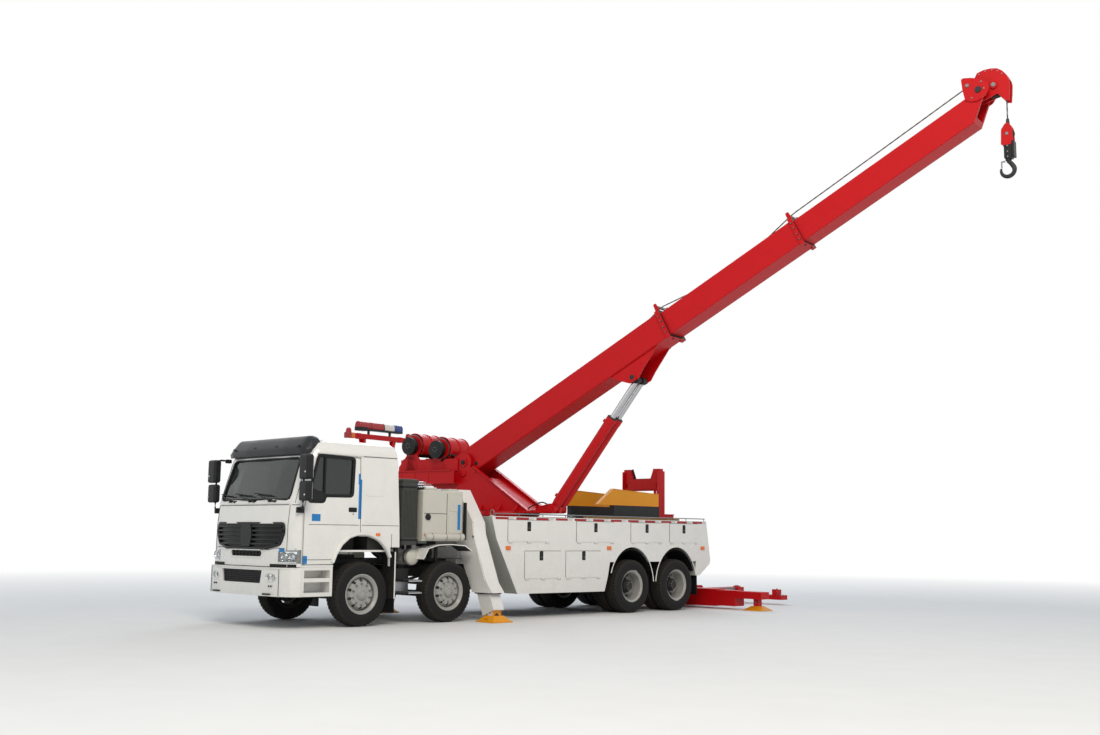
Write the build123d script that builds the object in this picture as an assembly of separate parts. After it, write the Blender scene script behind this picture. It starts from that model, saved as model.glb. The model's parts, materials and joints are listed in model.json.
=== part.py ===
from build123d import *
import math
import os

# Heavy recovery truck: four axles, cab, hollow side lockers, slewing three-stage boom,
# two front outrigger legs, rear stabiliser and underlift.  Millimetres, +Z up.
# While it is modelled, x runs to the vehicle's left, y rearwards from the first axle
# and z up from the ground.  The finished set is moved to its footprint centre at the end.

# Wheels and axles
AXLE_Y = (0.0, 1800.0, 6400.0, 7750.0)
TYRE_R = 512.0
TYRE_W = 300.0
RIM_R = 298.0
RIM_WALL = 12.0
FRONT_TRACK_X = 1020.5
DUAL_MID_X = 930.0
DUAL_PITCH = 345.0
KINGPIN_X = 900.0
KINGPIN_R = 25.0
SPINDLE_R = 45.0
REAR_SPINDLE_R = 60.0
FIT = 0.05
FACE_GAP = 0.3

# Chassis
RAIL_IN = 350.0
RAIL_OUT = 430.0
RAIL_Z0 = 750.0
RAIL_Z1 = 1050.0
RAIL_T = 12.0
FRAME_Y0 = -1250.0
FRAME_Y1 = 8850.0

# Cab
CAB_WALL = 50.0
CAB_FLOOR_Z = 1180.0
CAB_FLOOR_T = 30.0
DOOR_GAP = 5.0
GLASS_T = 8.0
DOOR_HINGE = (1230.0, -1195.0)
SILL_X = 1120.0

# Recovery body
BODY_X = 1238.0
BODY_IN_X = 640.0
BODY_WALL = 25.0
DECK_Z = 1800.0
DECK_T = 25.0
ARCH_A = 640.0
ARCH_TOP = 1269.0
FLAP_T = 12.0
FLAP_PAN = 30.0
FLAP_LAP = 40.0
UPPER_HINGE_Z = 1346.0
UPPER_TOP_Z = 1740.0
LOWER_HINGE_Z = 690.0
LOWER_TOP_Z = 1190.0
HINGE_R = 10.0
HINGE_PIN_R = 5.0

# Slewing superstructure, in its own frame: x lateral, y along the heading
SLEW_Y = 4200.0
SLEW_DEG = 80.0
RING_R = 600.0
RING_TOP = 1840.0
SPIGOT_R = 200.0
BASE_Z0 = 1885.0
BASE_T = 35.0
PLATE_IN = 300.0
PLATE_T = 30.0
PIVOT_R = -835.0
PIVOT_Z = 2860.0
PIVOT_PIN_R = 50.0
BOOM_DEG = 27.87
WINCHES = ((-1444.0, 3121.0), (-2155.0, 3212.0))
WINCH_SHAFT_R = 50.0

# Boom stages: width, height, start and end along the boom
WALL = 12.0
SECTIONS = {
    "base": (500.0, 500.0, -300.0, 5040.0),
    "mid": (450.0, 450.0, 2750.0, 7910.0),
    "tip": (400.0, 410.0, 5700.0, 11110.0),
}
TIP_TOP_S = 11570.0
SHEAVE_S = 11630.0
SHEAVE_N = 170.0
SHEAVE_R = 165.0
SHEAVE_PIN_R = 45.0
GUARD_T = 20.0

# Lift cylinders
FOOT_R = 1160.0
FOOT_Z = 1975.0
FOOT_PIN_R = 40.0
LIFT_X = 100.0
BARREL_R = 90.0
ROD_R = 50.0
BARREL_L = 2063.0
EYE_S = 4000.0
EYE_DROP = 535.0
PIN_DROP = 490.0
LUG_IN = 203.0
EYE_R = 65.0

# Outriggers, carriage and underlift
LEG_Y0 = 2340.0
LEG_Y1 = 2620.0
LEG_TILT = 22.5
LEG_W = 300.0
LEG_WALL = 15.0
LEG_TOP = 640.0
PAD = 450.0
STAB_Y0 = 9000.0
STAB_Y1 = 9350.0
STINGER_W = 220.0
BAR_Y = 11425.0
FORK_PIN_X = 1230.0
FORK_PIN_R = 25.0


def box(x0, x1, y0, y1, z0, z1):
    return Pos((x0 + x1) / 2, (y0 + y1) / 2, (z0 + z1) / 2) * Box(x1 - x0, y1 - y0, z1 - z0)


def prism_x(pts, x0, x1):
    """Extrude an outline of (y, z) points from x0 to x1."""
    plane = Plane(origin=(x0, 0, 0), x_dir=(0, 1, 0), z_dir=(1, 0, 0))
    return extrude(plane * make_face(Polyline(*pts, close=True)), amount=x1 - x0)


def prism_y(pts, y0, y1):
    """Extrude an outline of (x, z) points from y0 to y1."""
    plane = Plane(origin=(0, y1, 0), x_dir=(1, 0, 0), z_dir=(0, -1, 0))
    return extrude(plane * make_face(Polyline(*pts, close=True)), amount=y1 - y0)


def prism_z(pts, z0, z1):
    """Extrude an outline of (x, y) points from z0 to z1."""
    return extrude(Plane.XY.offset(z0) * make_face(Polyline(*pts, close=True)), amount=z1 - z0)


def cyl_x(y, z, r, x0, x1):
    return Pos((x0 + x1) / 2, y, z) * Rot(0, 90, 0) * Cylinder(r, x1 - x0)


def cyl_y(x, z, r, y0, y1):
    return Pos(x, (y0 + y1) / 2, z) * Rot(90, 0, 0) * Cylinder(r, y1 - y0)


def cyl_z(x, y, r, z0, z1):
    return Pos(x, y, (z0 + z1) / 2) * Cylinder(r, z1 - z0)


def spin_x(pts):
    """Turn an outline of (x, radius) points about the x axis."""
    return revolve(Plane.XZ * make_face(Polyline(*pts, close=True)), Axis.X)


def flip(shape):
    return mirror(shape, about=Plane.YZ)


def both(shape):
    return shape + flip(shape)


def square_tube(width, height, wall, s0, s1):
    outer = box(-width / 2, width / 2, s0, s1, -height / 2, height / 2)
    inner = box(-width / 2 + wall, width / 2 - wall, s0 - 1, s1 + 1, -height / 2 + wall, height / 2 - wall)
    return outer - inner


def frame_ring(width, height, in_width, in_height, s0, s1):
    outer = box(-width / 2, width / 2, s0, s1, -height / 2, height / 2)
    return outer - box(-in_width / 2, in_width / 2, s0 - 1, s1 + 1, -in_height / 2, in_height / 2)


def slewed(shape):
    return Pos(0, SLEW_Y, 0) * Rot(0, 0, -SLEW_DEG) * shape


def boomed(shape):
    return slewed(Pos(0, PIVOT_R, PIVOT_Z) * Rot(BOOM_DEG, 0, 0) * shape)


# Wheels
def tyre(x):
    """Plain carcass with shoulders and beads, centred on the axle line at x."""
    half = TYRE_W / 2
    # columns: sideways place, radius
    outline = (
        (x - half * 0.72, RIM_R - 20), (x - half * 0.93, RIM_R + 20), (x - half, RIM_R + 90),
        (x - half * 0.95, TYRE_R - 50), (x - half * 0.78, TYRE_R - 8), (x - half * 0.40, TYRE_R),
        (x + half * 0.40, TYRE_R), (x + half * 0.78, TYRE_R - 8), (x + half * 0.95, TYRE_R - 50),
        (x + half, RIM_R + 90), (x + half * 0.93, RIM_R + 20), (x + half * 0.72, RIM_R - 20),
    )
    return spin_x(outline)


def rim_barrel(x):
    half = TYRE_W / 2 * 0.72
    lip = TYRE_W / 2 * 0.93
    # columns: sideways place, radius
    outline = (
        (x - lip, RIM_R + 20), (x - half, RIM_R - 20), (x + half, RIM_R - 20), (x + lip, RIM_R + 20),
        (x + lip, RIM_R + 8), (x + half, RIM_R - 20 - RIM_WALL), (x - half, RIM_R - 20 - RIM_WALL),
        (x - lip, RIM_R + 8),
    )
    return spin_x(outline)


def hand_holes(disc, x0, x1, radius, size, count):
    for i in range(count):
        a = math.radians(360 / count * (i + 0.5))
        disc -= cyl_x(radius * math.cos(a), radius * math.sin(a), size, x0, x1)
    return disc


def front_rim():
    """Dished steel disc with hand holes, hub and brake drum."""
    x = FRONT_TRACK_X
    inner = RIM_R - 20 - RIM_WALL
    disc = spin_x((
        (x + 20, inner + 4), (x + 30, inner + 4), (x + 124, 210), (x + 124, 120), (x + 112, 120),
        (x + 112, 200), (x + 20, inner - 8),
    ))
    disc = hand_holes(disc, x + 60, x + 140, 220, 26, 10)
    hub = spin_x((
        (990, SPINDLE_R + FIT), (990, 90), (x + 40, 110), (x + 113, 150), (x + 124, 150), (x + 124, 95),
        (x + 150, 85), (x + 158, 60), (x + 158, 0), (x + 140, 0), (x + 140, SPINDLE_R + FIT),
    ))
    drum = spin_x(((990, 150), (990, 205), (x + 35, 205), (x + 35, 100), (x + 20, 100), (x + 20, 150)))
    return rim_barrel(x) + disc + hub + drum


def rear_rims():
    """Two barrels whose dished discs meet on one hub."""
    xi = DUAL_MID_X - DUAL_PITCH / 2
    xo = DUAL_MID_X + DUAL_PITCH / 2
    inner = RIM_R - 20 - RIM_WALL
    # both discs as one section: they part from the middle flange towards their barrels
    disc = spin_x((
        (xo - 98, inner + 4), (DUAL_MID_X + 14, 205), (DUAL_MID_X + 14, 120), (DUAL_MID_X - 14, 120),
        (DUAL_MID_X - 14, 205), (xi + 98, inner + 4), (xi + 110, inner + 4), (DUAL_MID_X, 218),
        (xo - 110, inner + 4),
    ))
    disc = hand_holes(disc, DUAL_MID_X - 100, DUAL_MID_X + 100, 236, 26, 10)
    hub = spin_x((
        (720, REAR_SPINDLE_R + FIT), (720, 120), (DUAL_MID_X - 20, 165), (DUAL_MID_X + 14, 165),
        (DUAL_MID_X + 14, 140), (1110, 120), (1150, 95), (1150, 0), (1132, 0),
        (1132, REAR_SPINDLE_R + FIT),
    ))
    drum = spin_x(((690, 150), (690, 205), (860, 205), (860, 110), (845, 110), (845, 150)))
    return rim_barrel(xi) + rim_barrel(xo) + disc + hub + drum


def at_axle(shape, i):
    return Pos(0, AXLE_Y[i], TYRE_R) * shape


# Axles, springs, knuckles
def knuckle():
    """Clevis on the kingpin with the wheel spindle, for the left side."""
    ear = cyl_z(KINGPIN_X, 0, 48, 51, 100) + cyl_z(KINGPIN_X, 0, 48, -100, -51)
    pin = cyl_z(KINGPIN_X, 0, KINGPIN_R, -100, 100)
    arm = box(KINGPIN_X, 975, -48, 48, 51, 100) + box(KINGPIN_X, 975, -48, 48, -100, -51)
    web = box(955, 975, -60, 60, -100, 100)
    flange = cyl_x(0, 0, 80, 974, 985)
    spindle = cyl_x(0, 0, SPINDLE_R, 970, FRONT_TRACK_X + 138)
    return ear + pin + arm + web + flange + spindle


def steer_axle():
    """Forged beam, dropped in the middle, with a kingpin eye at each end."""
    # columns: x, z
    half = (
        (0, -110), (560, -110), (660, -50), (KINGPIN_X, -50), (KINGPIN_X, 50), (640, 50), (540, -10), (0, -10),
    )
    beam = prism_y([(x, z) for x, z in half], -45, 45)
    eye = cyl_z(KINGPIN_X, 0, 50, -50, 50)
    side = beam + eye - cyl_z(KINGPIN_X, 0, KINGPIN_R + FIT, -60, 60)
    spring = prism_x([(-700, 238), (-350, 160), (0, 140), (350, 160), (700, 238), (700, 205),
                      (350, 118), (0, 88), (-350, 118), (-700, 205)], 395, 475)
    seat = box(395, 475, -60, 60, -40, 90)
    return both(side + spring + seat)


def drive_axle():
    """Banjo casing with final drive and fixed wheel spindles."""
    casing = spin_x(((-640, 0), (-640, 70), (-250, 80), (-170, 190), (170, 190), (250, 80), (640, 70), (640, 0)))
    nose = cyl_y(0, 0, 120, -330, 0) + cyl_y(0, 0, 60, -400, -330)
    spindle = cyl_x(0, 0, REAR_SPINDLE_R, 640, 1130)
    seat = box(440, 530, -70, 70, -60, 95)
    return casing + nose + both(spindle + seat)


def bogie_springs():
    mid = (AXLE_Y[2] + AXLE_Y[3]) / 2
    a = AXLE_Y[2] - 120
    b = AXLE_Y[3] + 120
    pack = prism_x([(a, 640), (mid - 350, 690), (mid + 350, 690), (b, 640), (b, 600),
                    (mid, 560), (a, 600)], 440, 530)
    saddle = box(430, 540, mid - 110, mid + 110, 540, 800)
    return both(pack + saddle)


def prop_shafts():
    y0 = 1425.0
    y1 = AXLE_Y[2] - 400
    length = math.hypot(y1 - y0, 820 - TYRE_R)
    tilt = math.degrees(math.atan2(820 - TYRE_R, y1 - y0))
    main = Pos(0, (y0 + y1) / 2, (820 + TYRE_R) / 2) * Rot(90 - tilt, 0, 0) * Cylinder(55, length)
    link = cyl_y(0, TYRE_R, 55, AXLE_Y[2], AXLE_Y[3] - 390)
    return main + link


def axles():
    return (at_axle(steer_axle(), 0) + at_axle(steer_axle(), 1) + at_axle(drive_axle(), 2)
            + at_axle(drive_axle(), 3) + bogie_springs() + prop_shafts())


# Frame
def rail():
    outer = box(RAIL_IN, RAIL_OUT, FRAME_Y0, FRAME_Y1, RAIL_Z0, RAIL_Z1)
    hollow = box(RAIL_IN - 1, RAIL_OUT - RAIL_T, FRAME_Y0 - 1, FRAME_Y1 + 1, RAIL_Z0 + RAIL_T, RAIL_Z1 - RAIL_T)
    return outer - hollow


def frame():
    body = both(rail())
    # columns: y, length, bottom, top of each crossmember
    for y, length, z0, z1 in ((-1220, 60, 780, 1020), (1500, 80, 900, 1000), (2900, 80, 800, 1000),
                              (5300, 80, 800, 1000), (7075, 160, 780, 1020), (8780, 70, 1060, 1240)):
        body += box(-RAIL_OUT + RAIL_T, RAIL_OUT - RAIL_T, y - length / 2, y + length / 2, z0, z1)
    for i in (0, 1):
        for dy in (-700, 700):
            y = AXLE_Y[i] + dy
            body += both(box(398, 472, y - 40, y + 40, TYRE_R + 238, RAIL_Z1 - 100)
                         + box(RAIL_OUT - 1, 472, y - 40, y + 40, RAIL_Z1 - 160, RAIL_Z1 - 100))
    engine = box(-300, 300, -650, 450, 620, 1120) + both(box(299, RAIL_IN + 6, -300, -200, 780, 860))
    gearbox = box(-180, 180, 449, 1300, 640, 1000) + cyl_y(0, 820, 90, 1299, 1420) + both(
        box(179, RAIL_OUT - RAIL_T, 1100, 1180, 765, 840))
    sub = both(box(RAIL_IN + 10, RAIL_OUT, 2750, FRAME_Y1, RAIL_Z1, RAIL_Z1 + 200))
    pedestal = box(-560, 560, SLEW_Y - 620, SLEW_Y + 620, RAIL_Z1 + 200, 1500)
    ring = cyl_z(0, SLEW_Y, RING_R, 1499, RING_TOP) + cyl_z(0, SLEW_Y, SPIGOT_R, RING_TOP - 1, BASE_Z0 + BASE_T - 2)
    guides = both(box(330, 430, FRAME_Y1, FRAME_Y1 + 90, 450, 1760) + box(RAIL_IN, RAIL_OUT, FRAME_Y1 - 1, FRAME_Y1 + 1, 760, 1240))
    strut = both(prism_x([(8500, 760), (8640, 760), (FRAME_Y1 + 2, 560), (FRAME_Y1 + 2, 450)], 350, 410))
    horns = both(box(RAIL_IN + 10, RAIL_OUT - 10, -1440, FRAME_Y0, 780, 900))
    return body + engine + gearbox + sub + pedestal + ring + guides + strut + horns


# Cab
# columns: height, half width, side front y, corner x, corner y, front corner x, front corner y,
#          front middle x, front middle y, rear y
CAB_ROWS = (
    (950, 1240, -1120, 1205, -1265, 1075, -1360, 560, -1425, 676),
    (1611, 1240, -1120, 1205, -1262, 1072, -1350, 560, -1415, 655),
    (1958, 1240, -1110, 1200, -1235, 1066, -1317, 560, -1368, 635),
    (2652, 1238, -960, 1190, -1040, 1035, -1102, 560, -1140, 592),
    (2780, 1215, -930, 1160, -1000, 1010, -1050, 540, -1085, 585),
    (2880, 1150, -850, 1100, -920, 960, -960, 520, -990, 570),
    (2933, 1060, -760, 1010, -820, 900, -850, 500, -870, 520),
)


def cab_form(inset, drop=0.0):
    """Loft through the plan sections, moved inwards by the inset."""
    faces = []
    for z, half, side_y, cx, cy, fx, fy, mx, my, back in CAB_ROWS:
        lim = half - inset
        left = [(lim, back - inset), (lim, side_y + inset * 0.4), (cx - inset * 0.8, cy + inset * 0.6),
                (fx - inset * 0.5, fy + inset), (mx, my + inset)]
        right = [(-x, y) for x, y in reversed(left)]
        top = z - drop if z > 2600 else z
        faces.append(Plane.XY.offset(top) * make_face(Polyline(*(left + right), close=True)))
    return loft(faces, ruled=True)


# columns: y, z
DOOR = ((-1195, 985), (-625, 985), (-560, 1130), (-460, 1280), (-330, 1385), (-200, 1430), (-118, 1445),
        (-158, 2673), (-975, 2690), (-1195, 1860))
DOOR_WINDOW = ((-1110, 1960), (-835, 1960), (-815, 2055), (-300, 2062), (-280, 2655), (-955, 2675), (-1115, 2050))
ARCH_CUT = ((-625, 900), (-625, 985), (-560, 1130), (-460, 1280), (-330, 1385), (-200, 1430), (30, 1425),
            (230, 1370), (390, 1240), (470, 1110), (480, 900))
WINDSCREEN = ((1015, 1985), (975, 2640), (-975, 2640), (-1015, 1985))
GRILLE = ((967, 1611), (-967, 1611), (-990, 1470), (-900, 1290), (-560, 1225), (560, 1225), (900, 1290), (990, 1470))
SLOT = ((440, 1200), (-440, 1200), (-470, 1145), (-440, 1090), (440, 1090), (470, 1145))
LAMP_Y1 = -1205
HEADLAMP = ((860, 1190), (860, 1010), (1300, 1000), (1300, 1215))


# half length of each bar, from the top
GRILLE_BARS = (930, 930, 930, 915, 800)
BAR_PITCH = 68.0
BAR_H = 26.0
SLAT_PITCH = 30.0
SLAT_H = 10.0


def grille_bars():
    """Level bars across the radiator grille, each as long as the opening is wide there."""
    bars = None
    for i, half in enumerate(GRILLE_BARS):
        z = 1565 - BAR_PITCH * i
        bar = box(-half, half, -1500, -1300, z - BAR_H / 2, z + BAR_H / 2)
        bars = bar if bars is None else bars + bar
    return bars


def prism_x_grown(pts, gap, x0, x1):
    """Like prism_x, with the outline grown by the gap."""
    plane = Plane(origin=(x0, 0, 0), x_dir=(0, 1, 0), z_dir=(1, 0, 0))
    face = make_face(Polyline(*pts, close=True))
    grown = offset(face, amount=gap, kind=Kind.INTERSECTION)
    return extrude(plane * grown, amount=x1 - x0)


def cab_parts():
    outer = cab_form(0)
    inner = cab_form(CAB_WALL, 60)
    wall = outer - (inner & box(-1300, 1300, -1500, 800, CAB_FLOOR_Z + CAB_FLOOR_T, 3000))
    wall -= inner & box(-1300, 1300, -1500, 800, 900, CAB_FLOOR_Z)
    wall -= box(-1300, 1300, 480, 800, 900, 1255)
    doors = (outer - inner) & prism_x(DOOR, 900, 1300)
    doors -= prism_x(DOOR_WINDOW, 900, 1300)
    doors -= box(900, SILL_X + 20, -1300, 0, 900, 1215)
    glass = (cab_form(20) - cab_form(20 + GLASS_T, 30)) & prism_x(DOOR_WINDOW, 900, 1300)
    shell = wall - both(prism_x_grown(DOOR, DOOR_GAP, SILL_X, 1300))
    shell -= prism_x(ARCH_CUT, -1300, 1300) & box(-1300, 1300, -700, 700, 900, CAB_FLOOR_Z - 1)
    shell -= prism_x(ARCH_CUT, 1180, 1300)
    shell -= prism_x(ARCH_CUT, -1300, -1180)
    shell -= prism_y(WINDSCREEN, -1500, -900)
    shell -= prism_y(GRILLE, -1500, -1300)
    shell -= prism_y(SLOT, -1500, -1300)
    screen = (cab_form(15) - cab_form(15 + GLASS_T, 30)) & prism_y(WINDSCREEN, -1500, -900)
    grilles = (cab_form(20) - cab_form(45, 30)) & (prism_y(GRILLE, -1500, -1300) + prism_y(SLOT, -1500, -1300))
    grilles += (cab_form(-2) - cab_form(21, 30)) & grille_bars()
    visor = prism_x([(-1150, 2700), (-1180, 2780), (-1095, 2925), (-990, 2995), (-800, 2985),
                     (-740, 2935), (-1000, 2860), (-1080, 2740)], -1112, 1112) - outer
    return shell, doors, glass, screen, grilles, visor


def mirrors():
    arm = box(1205, 1300, -1290, -1250, 1780, 1860) + box(1290, 1330, -1290, -1250, 1780, 2640)
    heads = box(1265, 1500, -1330, -1215, 2290, 2670) + box(1265, 1490, -1320, -1215, 1960, 2260)
    top = box(1195, 1330, -1290, -1250, 2600, 2640)
    return both(arm + heads + top)


def bumper():
    # columns: x, y
    outer = [(600, -1500), (1000, -1450), (1180, -1350), (1240, -1215)]
    inner = [(1180, -1215), (1130, -1310), (970, -1390), (600, -1440)]
    left = outer + inner
    right = [(-x, y) for x, y in left]
    body = both(prism_z(left, 500, 940)) + box(-600, 600, -1500, -1440, 500, 940)
    body -= prism_y([(596, 892), (551, 691), (-551, 691), (-596, 892)], -1600, -1430)
    for x in (760, 870):
        body -= both(cyl_y(x, 790, 48, -1600, -1300))
    return body


def bumper_grille():
    panel = prism_y([(596, 892), (551, 691), (-551, 691), (-596, 892)], -1462, -1442)
    for i in range(6):
        z = 720 + SLAT_PITCH * i
        panel += box(-556, 556, -1480, -1461, z - SLAT_H / 2, z + SLAT_H / 2)
    return panel


def lamps():
    head = both((cab_form(0) - cab_form(60, 30)) & prism_y(HEADLAMP, -1500, LAMP_Y1))
    shape = head
    for x in (760, 870):
        shape += both(cyl_y(x, 790, 47.9, -1470, -1420))
    return shape


# rear edge of the side steps, clear of the steered second wheel
TREAD_Y1 = 1205.0


def cab_steps():
    """Entry steps ahead of the first wheel, guards behind it and over the second."""
    step = box(960, 1240, -1214, -630, 500, 948) - box(1000, 1300, -1150, -680, 780, 900) - box(
        1000, 1300, -1150, -680, 560, 720)
    link = box(RAIL_OUT, 961, -1100, -1000, 800, 880)
    flap = box(900, 1240, 575, 600, 427, 1180) + box(RAIL_OUT, 901, 575, 600, 800, 880)
    hoop = prism_x([(1180, 1060), (1290, 1240), (1500, 1300), (1800, 1310), (2100, 1290), (2260, 1200),
                    (2240, 1190), (2090, 1275), (1800, 1295), (1505, 1285), (1300, 1228), (1195, 1055)], 860, 1230)
    stay = box(RAIL_OUT, 810, 1770, 1830, 960, 1020) + box(780, 810, 1770, 1830, 960, 1296) + box(
        780, 870, 1770, 1830, 1281, 1296)
    tread = box(800, 1180, 930, TREAD_Y1, 690, 710) + box(800, 1180, 930, TREAD_Y1, 495, 515) + box(
        790, 810, 930, TREAD_Y1, 495, 900) + box(RAIL_OUT, 800, TREAD_Y1 - 60, TREAD_Y1, 860, 900)
    tank = cyl_x(1130, 1090, 130, 520, 1000) + box(600, 660, 1100, 1220, 880, 965) + box(
        RAIL_OUT, 660, 1160, 1220, 880, 900)
    return both(step + link + flap + hoop + stay + tread + tank)


def cab_interior():
    floor = CAB_FLOOR_Z + CAB_FLOOR_T
    deck = prism_x([(-1250, floor), (-1250, 1500), (-1230, 1800), (-1000, 1830), (-930, 1700), (-1080, 1640),
                    (-1100, floor)], -1000, 1000)
    shape = deck
    for x in (-620, 620):
        shape += box(x - 240, x + 240, -500, 20, floor, 1560)
        shape += box(x - 240, x + 240, -60, 60, 1500, 2250)
    shape += box(-1100, 1100, 120, 560, floor, 1620)
    wheel = Pos(620, -800, 1900) * Rot(-60, 0, 0) * Torus(220, 18)
    spoke = Pos(620, -800, 1900) * Rot(-60, 0, 0) * (Box(420, 30, 12) + Cylinder(45, 30))
    column = Pos(620, -880, 1770) * Rot(30, 0, 0) * Cylinder(30, 330)
    return shape + wheel + spoke + column


def tank_cabinet():
    body = box(-1150, 1150, 1200, 2100, 1360, 2215)
    feet = both(box(RAIL_IN, RAIL_OUT, 1500, 1560, RAIL_Z1, 1361) + box(RAIL_IN, RAIL_OUT, 1950, 2010, RAIL_Z1, 1361))
    ledge = both(cyl_y(1150, 1430, 60, 1260, 2100))
    return body + feet + ledge


def air_cleaner():
    body = box(760, 1120, 800, 1130, 1290, 2340)
    bracket = box(RAIL_IN, 800, 900, 960, RAIL_Z1, 1110) + box(770, 830, 900, 960, 1050, 1291)
    return body + bracket


# Recovery body
# columns: start y, end y of each flap
UPPER_FLAPS = ((3080, 4110), (4830, 5870), (6360, 7300), (7540, 8430))
LOWER_FLAPS = ((3500, 4420), (4550, 5490))
BODY_SIDE = ((2690, 1800), (2813, 1395), (3329, 438), (5610, 430), (5700, 700), (5760, 980), (7040, 980),
             (7110, 980), (8390, 980), (8340, 690), (8500, 690), (8839, 921), (8863, 1010), (8730, 1800))


def arch(y):
    pts = []
    for i in range(0, 13):
        a = math.radians(180 * i / 12)
        pts.append((y + ARCH_A * math.cos(a), TYRE_R + (ARCH_TOP - TYRE_R) * math.sin(a)))
    pts += [(y - ARCH_A, 300), (y + ARCH_A, 300)]
    return prism_x(pts, BODY_IN_X - 10, 1400)


def hinge_barrel(x, z, y0, y1):
    """Eight-sided rolled hinge barrel."""
    plane = Plane(origin=(x, y1, z), x_dir=(1, 0, 0), z_dir=(0, -1, 0))
    return extrude(plane * RegularPolygon(HINGE_R, 8), amount=y1 - y0)


def knuckle_rows(flaps, z, on_body):
    """Hinge knuckles: two on the body either side of one on the flap, three times a flap."""
    shape = None
    x = BODY_X + HINGE_R + 2
    for y0, y1 in flaps:
        for f in (0.06, 0.5, 0.94):
            y = y0 + (y1 - y0) * f
            if on_body:
                for d in (-45, 15.3):
                    leaf = box(BODY_X - 1, x, y + d, y + d + 29.7, z - 6, z + 6)
                    part = hinge_barrel(x, z, y + d, y + d + 29.7) + leaf
                    shape = part if shape is None else shape + part
                shape += cyl_y(x, z, HINGE_PIN_R, y - 45, y + 45)
            else:
                part = hinge_barrel(x, z, y - 15, y + 15)
                shape = part if shape is None else shape + part
    return shape


def recovery_body():
    side = prism_x(BODY_SIDE, BODY_IN_X, BODY_X)
    side -= arch(AXLE_Y[2])
    side -= arch(AXLE_Y[3])
    w = BODY_WALL
    # columns: y0, y1, z0, z1 of each locker space
    for y0, y1, z0, z1 in ((2890, 4455, 1310, 1775), (4485, 6100, 1310, 1775), (6130, 7405, 1310, 1775),
                           (7435, 8690, 1310, 1775), (3400, 4470, 470, 1285), (4500, 5560, 470, 1285)):
        side -= box(BODY_IN_X + w, BODY_X - w, y0, y1, z0, z1)
    for y0, y1 in UPPER_FLAPS:
        side -= box(BODY_X - w - 1, BODY_X + 1, y0 + FLAP_LAP, y1 - FLAP_LAP, UPPER_HINGE_Z + FLAP_LAP,
                    UPPER_TOP_Z - FLAP_LAP)
    for y0, y1 in LOWER_FLAPS:
        side -= box(BODY_X - w - 1, BODY_X + 1, y0 + FLAP_LAP, y1 - FLAP_LAP, LOWER_HINGE_Z + FLAP_LAP,
                    LOWER_TOP_Z - FLAP_LAP)
    side += knuckle_rows(UPPER_FLAPS, UPPER_HINGE_Z, True)
    side += knuckle_rows(LOWER_FLAPS, LOWER_HINGE_Z, True)
    rail_bar = cyl_y(1200, 1850, 10, 2760, 8720)
    for y in range(2800, 8701, 590):
        rail_bar += cyl_z(1200, y, 8, DECK_Z - 1, 1850)
    deck = box(-BODY_IN_X - 1, BODY_IN_X + 1, 2700, 8730, DECK_Z - DECK_T, DECK_Z)
    deck -= cyl_z(0, SLEW_Y, RING_R + 30, DECK_Z - DECK_T - 1, DECK_Z + 1)
    ribs = None
    for y in (3000, 5400, 6500, 7500, 8650):
        rib = box(-BODY_IN_X - 1, BODY_IN_X + 1, y - 30, y + 30, RAIL_Z1 + 200, DECK_Z - DECK_T + 1)
        ribs = rib if ribs is None else ribs + rib
    return both(side + rail_bar) + deck + ribs


def flap_set(flaps, z0, z1):
    """One row of locker flaps with their hinge knuckles and inner pans."""
    x0 = BODY_X + FACE_GAP
    x1 = x0 + FLAP_T
    shape = None
    for y0, y1 in flaps:
        skin = box(x0, x1, y0, y1, z0 + 14, z1)
        pan = box(x0 - FLAP_PAN, x0 + 1, y0 + FLAP_LAP + 20, y1 - FLAP_LAP - 20, z0 + FLAP_LAP + 30,
                  z1 - FLAP_LAP - 20)
        part = skin + pan
        shape = part if shape is None else shape + part
    x = BODY_X + HINGE_R + 2
    shape += knuckle_rows(flaps, z0, False)
    for y0, y1 in flaps:
        for f in (0.06, 0.5, 0.94):
            y = y0 + (y1 - y0) * f
            shape += box(x0 + 2, x1, y - 15, y + 15, z0, z0 + 15)
            shape -= cyl_y(x, z0, HINGE_PIN_R + FIT, y - 20, y + 20)
    return shape


def boom_cradle():
    plate = prism_y([(-500, DECK_Z), (500, DECK_Z), (500, 2900), (330, 2900), (250, 2690), (-250, 2690),
                     (-330, 2900), (-500, 2900)], 8090, 8210)
    plate -= box(-340, 340, 8000, 8300, 1900, 2440)
    plate -= both(box(400, 440, 8000, 8300, 2100, 2600))
    plate -= box(-500, 500, 8110, 8190, 1820, 2670)
    foot = both(prism_x([(7950, DECK_Z), (8350, DECK_Z), (8210, 2200), (8090, 2200)], 440, 470))
    return plate + foot


def deck_skid():
    blade = prism_x([(6050, 2090), (6500, 2410), (7900, 2340), (7900, 2090)], 560, 640)
    base = box(540, 660, 6500, 7900, DECK_Z, 2091)
    return both(blade + base)


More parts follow.
